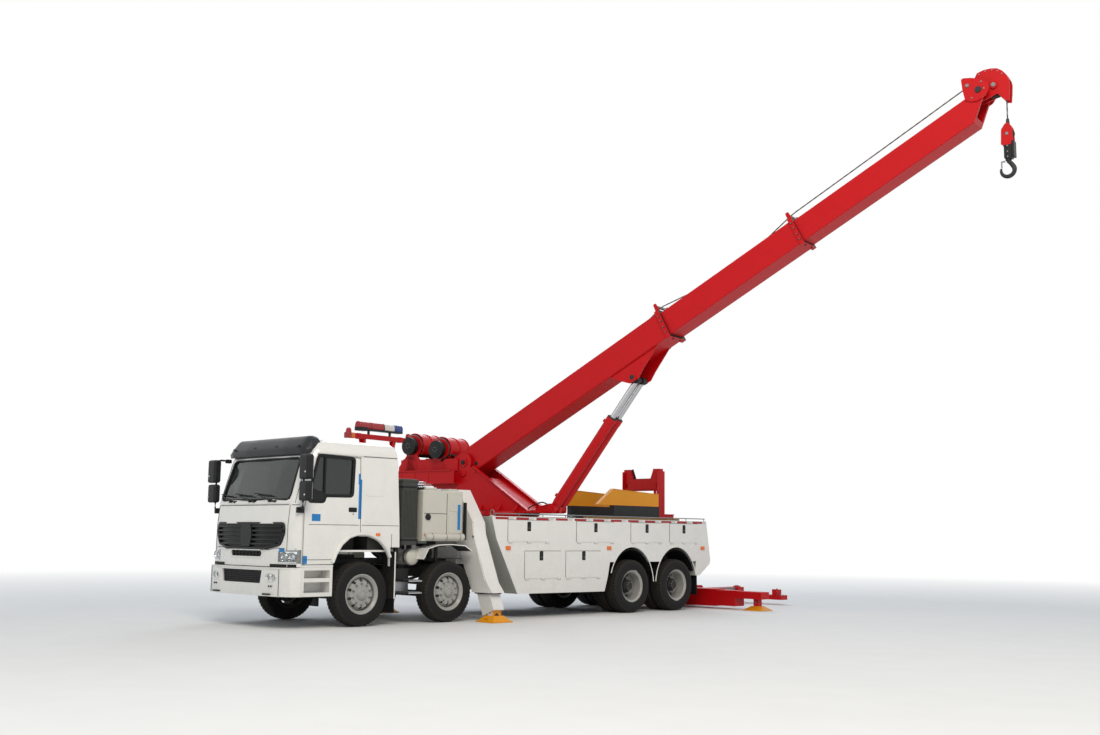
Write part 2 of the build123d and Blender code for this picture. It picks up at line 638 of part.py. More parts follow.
# Superstructure
def superstructure():
    ring = cyl_z(0, 0, RING_R + 20, RING_TOP, BASE_Z0 + 1)
    base = box(-PLATE_IN - PLATE_T - 60, PLATE_IN + PLATE_T + 60, -1000, 1050, BASE_Z0, BASE_Z0 + BASE_T)
    base += cyl_z(0, 0, RING_R + 20, BASE_Z0, BASE_Z0 + BASE_T)
    side = prism_x([(-940, BASE_Z0), (-940, 2765), (-587, 2765), (68, 2344), (780, BASE_Z0)],
                   PLATE_IN, PLATE_IN + PLATE_T)
    side += cyl_x(PIVOT_R, PIVOT_Z, 180, PLATE_IN, PLATE_IN + PLATE_T)
    side += box(PLATE_IN, PLATE_IN + PLATE_T, -1000, -670, 2700, 2860)
    side += prism_x([(-941, 1950), (-941, 2470), (-1650, 2470), (-1650, 2440)], PLATE_IN, PLATE_IN + PLATE_T)
    flange = prism_x([(-600, 2765), (68, 2336), (790, 1870), (802, 1888), (80, 2356), (-590, 2785)],
                     PLATE_IN - 30, PLATE_IN + PLATE_T + 30) - box(0, 500, -700, 900, 0, BASE_Z0)
    boss = cyl_x(-830, 2648, 60, PLATE_IN + PLATE_T - 1, PLATE_IN + PLATE_T + 25) + cyl_x(
        PIVOT_R, PIVOT_Z, 85, PLATE_IN + PLATE_T - 1, PLATE_IN + PLATE_T + 20)
    shape = ring + base + both(side + flange + boss)
    shape += prism_x([(-400, 2540), (-380, 2560), (640, 1940), (628, 1920)], -PLATE_IN - 1, PLATE_IN + 1)
    shape += cyl_x(PIVOT_R, PIVOT_Z, PIVOT_PIN_R, -PLATE_IN - 15, PLATE_IN + 15)
    # cylinder foot
    lug = [(800, BASE_Z0), (1240, BASE_Z0 + 5), (1250, 2000), (1180, 2060), (1110, 2060), (800, 1990)]
    for x0, x1 in ((-190, -162), (-36, 36), (162, 190)):
        shape += prism_x(lug, x0, x1)
    shape += cyl_x(FOOT_R, FOOT_Z, FOOT_PIN_R, -200, 200)
    # tail deck
    tray = box(-500, 500, -2450, -1260, 2450, 2710) - box(-475, 475, -2425, -1285, 2475, 2720)
    tray += both(box(300, 500, -1261, -939, 2450, 2710) - box(331, 475, -1286, -930, 2475, 2720))
    shape += tray
    shape += both(box(400, 480, -3440, -2449, 2610, 2690) + box(410, 470, -3440, -3380, 2610, 3470))
    shape += box(-970, 970, -3430, -3370, 3400, 3500)
    for r, z in WINCHES:
        stand = prism_x([(r - 230, 2470), (r + 230, 2470), (r + 110, z), (r - 110, z)], 335, 360) + cyl_x(
            r, z, 110, 335, 360)
        stand -= cyl_x(r, z, WINCH_SHAFT_R + FIT, 300, 400)
        shape += both(stand)
        shape += cyl_x(r, z, 175, 366, 470) + box(359, 367, r - 60, r + 60, z - 170, z - 60)
    shape -= cyl_z(0, 0, SPIGOT_R + FIT, RING_TOP - 5, BASE_Z0 + BASE_T + 5)
    return shape


def light_bar():
    bar = box(-650, 650, -3470, -3330, 3580, 3750)
    posts = both(box(300, 340, -3420, -3380, 3500, 3581))
    ends = both(cyl_z(900, -3400, 60, 3500, 3600))
    return bar + posts + ends


def winch_drum(r, z):
    outline = ((-362, 0), (-362, WINCH_SHAFT_R), (-325, WINCH_SHAFT_R), (-325, 230), (-300, 230), (-300, 170),
               (300, 170), (300, 230), (325, 230), (325, WINCH_SHAFT_R), (362, WINCH_SHAFT_R), (362, 0))
    return Pos(0, r, z) * spin_x(outline)


# Boom
def boom_base():
    w, h, s0, s1 = SECTIONS["base"]
    shape = square_tube(w, h, WALL, s0, s1)
    shape += box(-w / 2, w / 2, s0, s0 + 15, -h / 2, h / 2)
    shape -= prism_x([(s0 - 1, h / 2 + 1), (s0 + 100, h / 2 + 1), (s0 - 1, h / 2 - 100)], -w, w)
    plug = prism_x([(s0, h / 2 - 115), (s0 + 115, h / 2), (s0 + 130, h / 2), (s0, h / 2 - 130)], -w / 2, w / 2)
    shape += plug
    shape += cyl_x(0, 0, 95, -PLATE_IN + 1, PLATE_IN - 1)
    shape -= cyl_x(0, 0, PIVOT_PIN_R + FIT, -400, 400)
    wm, hm = SECTIONS["mid"][:2]
    shape += frame_ring(w + 60, h + 60, wm + 2 * FACE_GAP, hm + 2 * FACE_GAP, s1 - 90, s1)
    lug = prism_x([(3600, -h / 2 + 1), (3780, -h / 2 - 200), (3900, -h / 2 - 310), (4100, -h / 2 - 320),
                   (4250, -h / 2 - 230), (4720, -h / 2 + 1)], LUG_IN, LUG_IN + 25)
    pad = cyl_x(EYE_S, -PIN_DROP, 80, LUG_IN - 1, LUG_IN + 37)
    shape += both(lug + pad)
    shape += both(box(w / 2 - 40, w / 2 - 10, s1 - 60, s1 - 20, h / 2 + 29, h / 2 + 150)
                  ) + cyl_x(s1 - 40, h / 2 + 130, 18, -w / 2 + 15, w / 2 - 15)
    return boomed(shape)


def boom_mid():
    w, h, s0, s1 = SECTIONS["mid"]
    wb = SECTIONS["base"][0] - 2 * WALL
    shape = square_tube(w, h, WALL, s0, s1)
    shape += frame_ring(wb - 2 * FACE_GAP, wb - 2 * FACE_GAP, w - 2 * WALL, h - 2 * WALL, s0, s0 + 90)
    wt, ht = SECTIONS["tip"][:2]
    shape += frame_ring(w + 50, h + 50, wt + 2 * FACE_GAP, ht + 2 * FACE_GAP, s1 - 80, s1)
    shape += both(box(w / 2 - 40, w / 2 - 10, s1 - 60, s1 - 20, h / 2 + 24, h / 2 + 140)
                  ) + cyl_x(s1 - 40, h / 2 + 120, 16, -w / 2 + 15, w / 2 - 15)
    return boomed(shape)


# columns: along the boom, above its axis
GUARD_CREST = [(11526, 500), (11630, 480), (11730, 430), (11804, 370), (11845, 290), (11862, 206), (11857, 110)]


def boom_tip():
    w, h, s0, s1 = SECTIONS["tip"]
    wm = SECTIONS["mid"][0] - 2 * WALL
    outer = prism_x([(s0, -h / 2), (s1, -h / 2), (TIP_TOP_S, h / 2), (s0, h / 2)], -w / 2, w / 2)
    inner = box(-w / 2 + WALL, w / 2 - WALL, s0 - 1, s1 - 200, -h / 2 + WALL, h / 2 - WALL)
    shape = outer - inner
    window = box(-w / 2 + 50, w / 2 - 50, s1 - 60, TIP_TOP_S + 10, -h / 2 + 60, h / 2 - 60)
    shape -= window
    shape -= box(-56, 56, s1 + 250, TIP_TOP_S + 10, -h / 2 + 60, h / 2 + 10)
    shape += frame_ring(wm - 2 * FACE_GAP, wm - 2 * FACE_GAP, w - 2 * WALL, h - 2 * WALL, s0, s0 + 90)
    # guard cheeks and cover round the head sheave; columns: along the boom, above its axis
    cheek = prism_x([(11240, h / 2 - 20), (11320, 70), (11470, 40), (11610, 20), (11643, -140), (11693, -181),
                     (11767, -68), (11838, 50)] + GUARD_CREST[::-1] + [(11420, 430), (11240, 330)], 62, 87)
    shape += both(cheek)
    inside = [(x - GUARD_T * (x - SHEAVE_S) / 235, n - GUARD_T * (n - SHEAVE_N) / 235) for x, n in GUARD_CREST]
    shape += prism_x(GUARD_CREST + inside[::-1], -63, 63)
    ear = prism_x([(11180, 180), (11240, 100), (11330, 50), (11455, 52), (11560, 110), (11590, 200), (11540, 320),
                   (11430, 430), (11330, 505), (11290, 505), (11220, 330)], w / 2 - 1, w / 2 + 22)
    shape += both(ear)
    shape += cyl_x(SHEAVE_S, SHEAVE_N, SHEAVE_PIN_R, -95, 95)
    shape += both(box(120, 145, 11290, 11330, h / 2 - 1, h / 2 + 300)) + cyl_x(11310, h / 2 + 270, 25, -w / 2, w / 2)
    return boomed(shape)


def sheave_centre():
    """Centre of the head sheave in the superstructure's frame: heading distance and height."""
    a = math.radians(BOOM_DEG)
    r = PIVOT_R + SHEAVE_S * math.cos(a) - SHEAVE_N * math.sin(a)
    z = PIVOT_Z + SHEAVE_S * math.sin(a) + SHEAVE_N * math.cos(a)
    return r, z


def hook_block():
    """Head sheave, hoist falls, block and hook, hanging as one pendulum."""
    r, z = sheave_centre()
    wheel = spin_x(((-50, SHEAVE_PIN_R + FIT), (-50, 90), (-45, SHEAVE_R + 12), (-28, SHEAVE_R + 12), (-16, SHEAVE_R - 12),
                    (16, SHEAVE_R - 12), (28, SHEAVE_R + 12), (45, SHEAVE_R + 12), (50, 90), (50, SHEAVE_PIN_R + FIT)))
    shape = Pos(0, r, z) * wheel
    x = r + SHEAVE_R
    fall = cyl_z(0, x, 12, 7700, z)
    top = 7821.0
    block = prism_x([(x - 25, top), (x + 25, top), (x + 75, top - 90), (x + 85, top - 330), (x + 60, top - 560),
                     (x - 60, top - 560), (x - 100, top - 330), (x - 90, top - 90)], -60, 60)
    block += box(-75, 75, x + 60, x + 95, top - 540, top - 290)
    shank = cyl_z(0, x - 8, 36, 7180, top - 559)
    ring = Pos(0, x - 25, 7090) * Rot(0, 90, 0) * Torus(100, 32)
    # mouth of the hook, open towards the truck
    ring -= prism_x([(x - 40, 7130), (x - 75, 7240), (x - 200, 7240), (x - 200, 7130)], -60, 60)
    return slewed(shape + fall + block + shank + ring)


# Lift cylinders
def eye_point():
    """Rod eye in the superstructure's frame: heading distance and height."""
    a = math.radians(BOOM_DEG)
    r = PIVOT_R + EYE_S * math.cos(a) + EYE_DROP * math.sin(a)
    z = PIVOT_Z + EYE_S * math.sin(a) - EYE_DROP * math.cos(a)
    return r, z


def lift_axis():
    r, z = eye_point()
    length = math.hypot(r - FOOT_R, z - FOOT_Z)
    angle = math.degrees(math.atan2(z - FOOT_Z, r - FOOT_R))
    return length, angle


def on_lift(shape):
    return slewed(Pos(0, FOOT_R, FOOT_Z) * Rot(lift_axis()[1], 0, 0) * shape)


def lift_barrels():
    tube = cyl_y(LIFT_X, 0, BARREL_R, 130, BARREL_L) + cyl_y(LIFT_X, 0, BARREL_R + 6, BARREL_L - 110, BARREL_L)
    eye = cyl_x(0, 0, 78, LIFT_X - 58, LIFT_X + 58)
    tube += eye + box(LIFT_X - 58, LIFT_X + 58, 0, 140, -60, 60)
    tube -= cyl_x(0, 0, FOOT_PIN_R + FIT, LIFT_X - 60, LIFT_X + 60)
    tube -= cyl_y(LIFT_X, 0, ROD_R + FIT, 150, BARREL_L + 1)
    return on_lift(both(tube))


def lift_rods():
    length = lift_axis()[0]
    rod = cyl_y(LIFT_X, 0, ROD_R, 900, length - 30)
    eye = cyl_x(length, 0, EYE_R, LIFT_X - 56, LIFT_X + 56)
    pin = cyl_x(length, 0, 34, 7 - LUG_IN, LUG_IN - 7)
    return on_lift(both(rod + eye) + pin)


# Outriggers and underlift
LEG_OUT = (1507.0, 655.0)


def leg_line(z):
    """x of the leg's outer face at height z."""
    return LEG_OUT[0] + (LEG_OUT[1] - z) * math.tan(math.radians(LEG_TILT))


def leg_frame(shape):
    """Place a shape drawn about a vertical leg whose outer face is x = 0 at z = 0."""
    return Pos(LEG_OUT[0], 0, LEG_OUT[1]) * Rot(0, -LEG_TILT, 0) * shape


def leg_housings():
    plate = prism_y([(725, 2260), (1150, 1670), (1176, 1486), (leg_line(655) + 20, 655), (leg_line(490) + 100, 490),
                     (leg_line(490) - LEG_W / math.cos(math.radians(LEG_TILT)) - 100, 490), (700, 1350), (430, 1600),
                     (430, 2050), (560, 2260)], LEG_Y0, LEG_Y1)
    slot = leg_frame(box(-LEG_W - 1, 1, LEG_Y0 + 19.5, LEG_Y1 - 19.5, -1500, 1100))
    half = plate - slot
    arm = box(RAIL_OUT, 700, LEG_Y0, LEG_Y1, RAIL_Z1 - 90, RAIL_Z1) + box(RAIL_OUT, 760, LEG_Y0, LEG_Y1, 1060, 1300)
    half += arm - slot
    return both(half) + box(-431, 431, LEG_Y0, LEG_Y1, RAIL_Z1, 1250)


def front_leg():
    tube = box(-LEG_W, 0, LEG_Y0 + 20, LEG_Y1 - 20, -480, LEG_TOP) - box(
        -LEG_W + LEG_WALL, -LEG_WALL, LEG_Y0 + 20 + LEG_WALL, LEG_Y1 - 20 - LEG_WALL, -470, LEG_TOP + 1)
    leg = leg_frame(tube)
    x = leg_line(120) - LEG_W / 2
    y = (LEG_Y0 + LEG_Y1) / 2
    low = Plane.XY.offset(20) * Pos(x, y, 0) * Rectangle(PAD - 40, PAD - 40)
    high = Plane.XY.offset(110) * Pos(x, y, 0) * Rectangle(220, 220)
    pad = box(x - PAD / 2, x + PAD / 2, y - PAD / 2, y + PAD / 2, 0, 21) + loft([low, high])
    ears = box(x - 60, x + 60, y - 100, y + 100, 109, 240)
    return leg + pad + ears


def carriage():
    """Lifting carriage on the tail guides with the stabiliser housing and underlift tube."""
    slide = both(box(300, 460, FRAME_Y1 + 90, FRAME_Y1 + 130, 420, 1500)) + box(
        -301, 301, FRAME_Y1 + 100, FRAME_Y1 + 130, 420, 900)
    housing = both(box(190, 1240, STAB_Y0, STAB_Y1, 50, 400) - box(200, 1250, STAB_Y0 + 15, STAB_Y1 - 15, 65, 385))
    tube = box(-190, 190, 8050, 9900, 60, 420) - box(
        -STINGER_W / 2 - FACE_GAP, STINGER_W / 2 + FACE_GAP, 8049, 9901, 130 - FACE_GAP, 350 + FACE_GAP)
    post = box(-300, 300, FRAME_Y1 + 100, STAB_Y0 + 1, 380, 430)
    return slide + housing + tube + post


def rear_stab():
    beam = box(720, 1750, STAB_Y0 + 15.3, STAB_Y1 - 15.3, 65.3, 384.7) - box(
        719, 1735, STAB_Y0 + 30, STAB_Y1 - 30, 80, 370)
    stage = box(1734, 2400, STAB_Y0 + 40, STAB_Y1 - 40, 230, 375)
    y = (STAB_Y0 + STAB_Y1) / 2
    foot = box(2150, 2270, y - 60, y + 60, 60, 231)
    low = Plane.XY.offset(15) * Pos(2210, y, 0) * Rectangle(400, 400)
    high = Plane.XY.offset(90) * Pos(2210, y, 0) * Rectangle(180, 180)
    return beam + stage + foot + box(1995, 2425, y - 215, y + 215, 0, 16) + loft([low, high])


def stinger():
    beam = box(-STINGER_W / 2, STINGER_W / 2, 9250, 11300, 130, 350)
    bar = box(-1300, 1300, 11300, 11550, 110, 210)
    head = box(-160, 160, 11250, 11480, 110, 350)
    forks = both(box(1060, 1160, 11330, 11520, 209, 330))
    holes = both(cyl_z(FORK_PIN_X, BAR_Y, FORK_PIN_R, 100, 220))
    return beam + bar + head + forks - holes


# Assembly
def build():
    nodes = {}
    shell, door, glass, screen, grilles, visor = cab_parts()
    lamp = lamps()
    shell -= both(prism_y(HEADLAMP, -1500, LAMP_Y1))
    nodes["frame"] = frame()
    nodes["axles"] = axles()
    nodes["cab_shell"] = shell
    nodes["cab_door_left"] = door
    nodes["cab_door_right"] = flip(door)
    nodes["door_glass_left"] = glass
    nodes["door_glass_right"] = flip(glass)
    nodes["windscreen"] = screen
    nodes["grilles"] = grilles + bumper_grille()
    nodes["cab_trim"] = visor + mirrors()
    nodes["bumper"] = bumper()
    nodes["lamps"] = lamp
    nodes["cab_steps"] = cab_steps()
    nodes["cab_interior"] = cab_interior()
    nodes["tank_cabinet"] = tank_cabinet()
    nodes["air_cleaner"] = air_cleaner()
    nodes["recovery_body"] = recovery_body()
    nodes["boom_cradle"] = boom_cradle()
    nodes["deck_skid"] = deck_skid()
    upper = flap_set(UPPER_FLAPS, UPPER_HINGE_Z, UPPER_TOP_Z)
    lower = flap_set(LOWER_FLAPS, LOWER_HINGE_Z, LOWER_TOP_Z)
    nodes["upper_flaps_left"] = upper
    nodes["upper_flaps_right"] = flip(upper)
    nodes["lower_flaps_left"] = lower
    nodes["lower_flaps_right"] = flip(lower)
    nodes["leg_housings"] = leg_housings()
    leg = front_leg()
    nodes["front_leg_left"] = leg
    nodes["front_leg_right"] = flip(leg)
    for i in (0, 1):
        name = "axle_" + str(i + 1)
        nodes["knuckle_" + name + "_left"] = at_axle(knuckle(), i)
        nodes["knuckle_" + name + "_right"] = flip(at_axle(knuckle(), i))
        nodes["tyre_" + name + "_left"] = at_axle(tyre(FRONT_TRACK_X), i)
        nodes["tyre_" + name + "_right"] = flip(at_axle(tyre(FRONT_TRACK_X), i))
        nodes["rim_" + name + "_left"] = at_axle(front_rim(), i)
        nodes["rim_" + name + "_right"] = flip(at_axle(front_rim(), i))
    pair = tyre(DUAL_MID_X - DUAL_PITCH / 2) + tyre(DUAL_MID_X + DUAL_PITCH / 2)
    for i in (2, 3):
        name = "axle_" + str(i + 1)
        nodes["tyres_" + name + "_left"] = at_axle(pair, i)
        nodes["tyres_" + name + "_right"] = flip(at_axle(pair, i))
        nodes["rims_" + name + "_left"] = at_axle(rear_rims(), i)
        nodes["rims_" + name + "_right"] = flip(at_axle(rear_rims(), i))
    nodes["superstructure"] = slewed(superstructure())
    nodes["light_bar"] = slewed(light_bar())
    nodes["winch_drum_front"] = slewed(winch_drum(*WINCHES[0]))
    nodes["winch_drum_rear"] = slewed(winch_drum(*WINCHES[1]))
    nodes["boom_base"] = boom_base()
    nodes["boom_mid"] = boom_mid()
    nodes["boom_tip"] = boom_tip()
    nodes["hook_block"] = hook_block()
    nodes["lift_barrels"] = lift_barrels()
    nodes["lift_rods"] = lift_rods()
    nodes["underlift_carriage"] = carriage()
    stab = rear_stab()
    nodes["rear_stab_left"] = stab
    nodes["rear_stab_right"] = flip(stab)
    nodes["stinger"] = stinger()
    return nodes


def main():
    nodes = build()
    boxes = [shape.bounding_box() for shape in nodes.values()]
    x0 = min(b.min.X for b in boxes)
    x1 = max(b.max.X for b in boxes)
    y0 = min(b.min.Y for b in boxes)
    y1 = max(b.max.Y for b in boxes)
    z0 = min(b.min.Z for b in boxes)
    shift = (-(x0 + x1) / 2, -(y0 + y1) / 2, -z0)
    print("shift", [round(v, 4) for v in shift], "size", round(x1 - x0, 1), round(y1 - y0, 1),
          round(max(b.max.Z for b in boxes) - z0, 1))
    os.makedirs("parts", exist_ok=True)
    for name, shape in nodes.items():
        export_step(Pos(*shift) * shape, "parts/" + name + ".step")


if __name__ == "__main__":
    main()
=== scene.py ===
import json
import math

import bmesh
import bpy
from bpy.props import FloatProperty, FloatVectorProperty, IntProperty, PointerProperty
from mathutils import Matrix, Vector


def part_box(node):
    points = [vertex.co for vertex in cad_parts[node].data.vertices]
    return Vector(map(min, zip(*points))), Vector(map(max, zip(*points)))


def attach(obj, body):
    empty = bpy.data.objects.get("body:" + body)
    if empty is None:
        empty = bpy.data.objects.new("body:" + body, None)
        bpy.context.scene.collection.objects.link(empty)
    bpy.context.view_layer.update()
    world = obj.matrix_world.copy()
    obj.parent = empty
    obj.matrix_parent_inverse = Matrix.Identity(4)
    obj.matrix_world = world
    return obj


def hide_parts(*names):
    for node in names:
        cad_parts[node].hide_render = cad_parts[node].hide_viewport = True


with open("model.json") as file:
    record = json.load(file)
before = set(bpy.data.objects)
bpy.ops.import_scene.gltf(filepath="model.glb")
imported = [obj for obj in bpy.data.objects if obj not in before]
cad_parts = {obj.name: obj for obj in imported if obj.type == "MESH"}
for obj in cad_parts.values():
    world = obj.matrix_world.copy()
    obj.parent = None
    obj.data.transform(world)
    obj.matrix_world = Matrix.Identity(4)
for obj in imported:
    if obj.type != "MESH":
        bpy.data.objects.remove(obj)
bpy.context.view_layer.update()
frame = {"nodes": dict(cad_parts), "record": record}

bl_info = {
    "name": "Heavy Recovery Truck",
    "version": (1, 0, 0),
    "blender": (4, 5, 0),
    "location": "View3D > Sidebar > Recovery Truck",
    "description": "Dresses the frame of a four-axle recovery truck with a slewing boom",
    "category": "Object",
}

# The lorry's own frame: x to its left, y rearwards from the first axle, z up from the ground.
_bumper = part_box("bumper")
_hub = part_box("tyre_axle_1_left")
SHIFT = Vector(((_bumper[0].x + _bumper[1].x) / 2, (_hub[0].y + _hub[1].y) / 2, 0.0))
LORRY = Matrix.Translation(SHIFT)
# the turntable's frame, slewed as in the photograph, and the raised boom's on its pivot
SLEW = LORRY @ Matrix.Translation((0, 4.2, 0)) @ Matrix.Rotation(math.radians(-80), 4, "Z")
PIVOT = Vector((0, -0.835, 2.86))
RAISE = math.radians(27.87)
BOOM = SLEW @ Matrix.Translation(PIVOT) @ Matrix.Rotation(RAISE, 4, "X")
MIRROR = Matrix.Scale(-1, 4, (1, 0, 0))
AXLES = (0.0, 1.8, 6.4, 7.75)
TYRE_R = 0.512


def linear(code, alpha=1.0):
    """Turn an sRGB hex colour into linear values."""
    parts = [int(code[i:i + 2], 16) / 255 for i in (1, 3, 5)]
    return tuple(c / 12.92 if c <= 0.04045 else ((c + 0.055) / 1.055) ** 2.4 for c in parts) + (alpha,)


def colour_field(name, about, code):
    return FloatVectorProperty(name=name, description=about, subtype="COLOR", size=4, min=0, max=1,
                               default=linear(code))


def length_field(name, about, default, least, most):
    return FloatProperty(name=name, description=about, unit="LENGTH", default=default, min=least, max=most)


class TruckColours(bpy.types.PropertyGroup):
    """Paint colours."""

    white: colour_field("White enamel", "Cab, lockers and front legs", "#ECEAE4")
    red: colour_field("Red enamel", "Boom, turntable, rest and underlift", "#C2030C")
    yellow: colour_field("Yellow enamel", "Ramp plates and foot plates", "#F2A003")
    chassis: colour_field("Chassis paint", "Rails, axles and brackets", "#1D1F21")
    wheel: colour_field("Wheel paint", "Pressed steel wheels", "#A9AAA6")
    # cabinet: the white enamel drawn grey-white, as painted shade on the tank cabinet behind the cab
    cabinet: colour_field("Cabinet white with painted shade", "Tank cabinet behind the cab", "#CCC8BC")


class TruckSizes(bpy.types.PropertyGroup):
    """Sizes of the dressed details."""

    rope: length_field("Rope diameter", "Wire rope on the winches", 0.022, 0.01, 0.04)
    nut_circle: length_field("Wheel nut circle", "Diameter of the nut circle", 0.335, 0.2, 0.5)
    nuts: IntProperty(name="Wheel nuts", description="Nuts on each wheel", default=10, min=6, max=12)
    tread: length_field("Tread depth", "Depth of the tread grooves", 0.013, 0.004, 0.02)


# MATERIALS
def add(tree, kind, links=(), **values):
    """Add one node, set its fields or inputs, and join inputs to source sockets."""
    node = tree.nodes.new("ShaderNode" + kind)
    for key, value in values.items():
        if hasattr(node, key):
            setattr(node, key, value)
        else:
            node.inputs[key.replace("_", " ")].default_value = value
    for target, source in links:
        tree.links.new(source, node.inputs[target])
    return node


class Recipe:
    """A node material in the making: object coordinates in, one principled shader out."""

    def __init__(self, name, **inputs):
        self.material = bpy.data.materials.new(name)
        self.material.use_nodes = True
        self.tree = self.material.node_tree
        self.tree.nodes.clear()
        self.shader = add(self.tree, "BsdfPrincipled")
        self.output = add(self.tree, "OutputMaterial", [("Surface", self.shader.outputs[0])])
        self.place = add(self.tree, "TexCoord").outputs["Object"]
        for key, value in inputs.items():
            self.shader.inputs[key.replace("_", " ")].default_value = value

    def texture(self, kind, place=None, output="Fac", **values):
        links = [("Vector", self.place if place is None else place)]
        return add(self.tree, "Tex" + kind, links, **values).outputs[output]

    def stretched(self, **values):
        return add(self.tree, "Mapping", [("Vector", self.place)], **values).outputs[0]

    def height(self, source):
        return add(self.tree, "SeparateXYZ", [(0, source)]).outputs["Z"]

    def ranged(self, source, **values):
        return add(self.tree, "MapRange", [("Value", source)], **values).outputs[0]

    def math(self, operation, *sources, **values):
        return add(self.tree, "Math", list(enumerate(sources)), operation=operation, **values).outputs[0]

    def mix(self, share, first, second):
        """Mix two colours; the first may also be a socket."""
        node = add(self.tree, "MixRGB", [("Fac", share)], Color2=second)
        if isinstance(first, tuple):
            node.inputs["Color1"].default_value = first
        else:
            self.tree.links.new(first, node.inputs["Color1"])
        return node.outputs[0]

    def colour(self, share, first, second):
        self.tree.links.new(self.mix(share, first, second), self.shader.inputs["Base Color"])

    def roughness(self, source, low, high):
        self.tree.links.new(self.ranged(source, To_Min=low, To_Max=high), self.shader.inputs["Roughness"])

    def bump(self, height, strength, distance):
        node = add(self.tree, "Bump", [("Height", height)], Strength=strength, Distance=distance)
        self.tree.links.new(node.outputs[0], self.shader.inputs["Normal"])


def tinted(colour, share, lift=0.0):
    """Colour made darker or paler, alpha kept at one."""
    return tuple(min(c * share + lift, 1.0) for c in colour[:3]) + (1.0,)


def enamel(name, colour, rough, coat, soil="#6E6558", amount=0.15, ripple=0.25, shine=0.5):
    """Sprayed enamel on welded plate: glossy coat, faint plate ripple, road dust low down and on top."""
    r = Recipe(name, IOR=1.5, Specular_IOR_Level=shine, Coat_Weight=coat, Coat_Roughness=0.12)
    # plate ripple between welds is about 250 mm long
    plate = r.texture("Noise", Scale=4.0, Detail=2.0)
    # dust lies in 60 mm clouds
    cloud = r.texture("Noise", Scale=16.0, Detail=8.0, Roughness=0.65)
    low = r.ranged(r.height(r.place), From_Min=1.5, From_Max=0.25, To_Min=0.0, To_Max=amount)
    upward = r.height(add(r.tree, "NewGeometry").outputs["Normal"])
    top = r.ranged(upward, From_Min=0.55, From_Max=1.0, To_Min=0.02, To_Max=0.10)
    spread = r.ranged(cloud, From_Min=0.35, From_Max=0.72, To_Min=0.25, To_Max=1.0)
    mask = r.math("MULTIPLY", r.math("ADD", low, top), spread, use_clamp=True)
    r.colour(mask, r.mix(plate, colour, tinted(colour, 0.9)), linear(soil))
    r.roughness(mask, rough, min(rough + 0.5, 0.95))
    # orange peel is 2 mm; drawn at 12 mm so that it shows
    peel = r.texture("Noise", Scale=80.0, Detail=1.0)
    height = add(r.tree, "Math", [(0, plate), (1, peel)], operation="MULTIPLY_ADD")
    height.inputs[2].default_value = 0.0
    r.bump(height.outputs[0], ripple, 0.006)
    return r.material


def moulded(name, code, rough, grain=250.0, strength=0.25):
    """Moulded ABS or rubber: even colour with a fine leather grain and grey wear."""
    r = Recipe(name, IOR=1.46, Specular_IOR_Level=0.32)
    wear = r.texture("Noise", Scale=9.0, Detail=6.0)
    r.colour(wear, linear(code), tinted(linear(code), 1.5, 0.005))
    r.roughness(wear, rough - 0.08, rough + 0.12)
    r.bump(r.texture("Voronoi", output="Distance", Scale=grain), strength, 0.001)
    return r.material


def tyre_rubber():
    """Carbon-black tyre rubber: matt, dusty tread, fine mould rings on the sidewall."""
    r = Recipe("tyre rubber, moulded", Roughness=0.78, Specular_IOR_Level=0.3)
    split = add(r.tree, "SeparateXYZ", [(0, r.place)])
    flat = add(r.tree, "CombineXYZ", [(axis, split.outputs[axis]) for axis in "YZ"])
    radius = add(r.tree, "VectorMath", [(0, flat.outputs[0])], operation="LENGTH").outputs["Value"]
    grit = r.texture("Noise", Scale=30.0, Detail=8.0, Roughness=0.7)
    tread = r.ranged(radius, From_Min=0.44, From_Max=0.51, To_Min=0.06, To_Max=0.5)
    r.colour(r.math("MULTIPLY", tread, grit), linear("#121213"), linear("#4A443C"))
    # mould rings stand 9 mm apart
    ring = add(r.tree, "Math", [(0, radius)], operation="MULTIPLY")
    ring.inputs[1].default_value = 700.0
    r.bump(r.math("SINE", ring.outputs[0]), 0.12, 0.002)
    return r.material


def bare_metal(name, code, rough):
    """Metal left bare, plated or rolled: clear reflections with fine drawn lines."""
    r = Recipe(name, Metallic=1.0)
    line = r.texture("Noise", r.stretched(Scale=(1, 12, 1)), Scale=60.0, Detail=4.0)
    r.colour(line, linear(code), tinted(linear(code), 0.72))
    r.roughness(line, rough, rough + 0.14)
    r.bump(line, 0.1, 0.001)
    return r.material


def cast_iron():
    """Painted castings and forgings: grainy, matt and oily dark."""
    r = Recipe("cast iron, painted", Roughness=0.62, Metallic=0.25)
    rust = r.texture("Noise", Scale=7.0, Detail=5.0)
    r.colour(r.ranged(rust, From_Min=0.5, From_Max=0.75, To_Max=0.5), linear("#232426"), linear("#4C4036"))
    r.bump(r.texture("Noise", Scale=90.0, Detail=6.0), 0.4, 0.002)
    return r.material


def safety_glass():
    """Laminated glass with a grey-green tint and a little dust."""
    r = Recipe("laminated glass, tinted", Base_Color=linear("#5F6966"), Transmission_Weight=0.85, IOR=1.5)
    r.roughness(r.texture("Noise", Scale=5.0, Detail=6.0), 0.0, 0.08)
    return r.material


def lens(name, code, clear):
    """Moulded acrylic or polycarbonate lens with cast ribs about 12 mm apart."""
    r = Recipe(name, Roughness=0.06, Transmission_Weight=clear, IOR=1.49)
    rib = r.texture("Wave", Scale=1000.0 / 12.0 / 20.0, Distortion=0.0)
    r.bump(rib, 0.3, 0.002)
    r.colour(rib, linear(code), tinted(linear(code), 1.15))
    return r.material


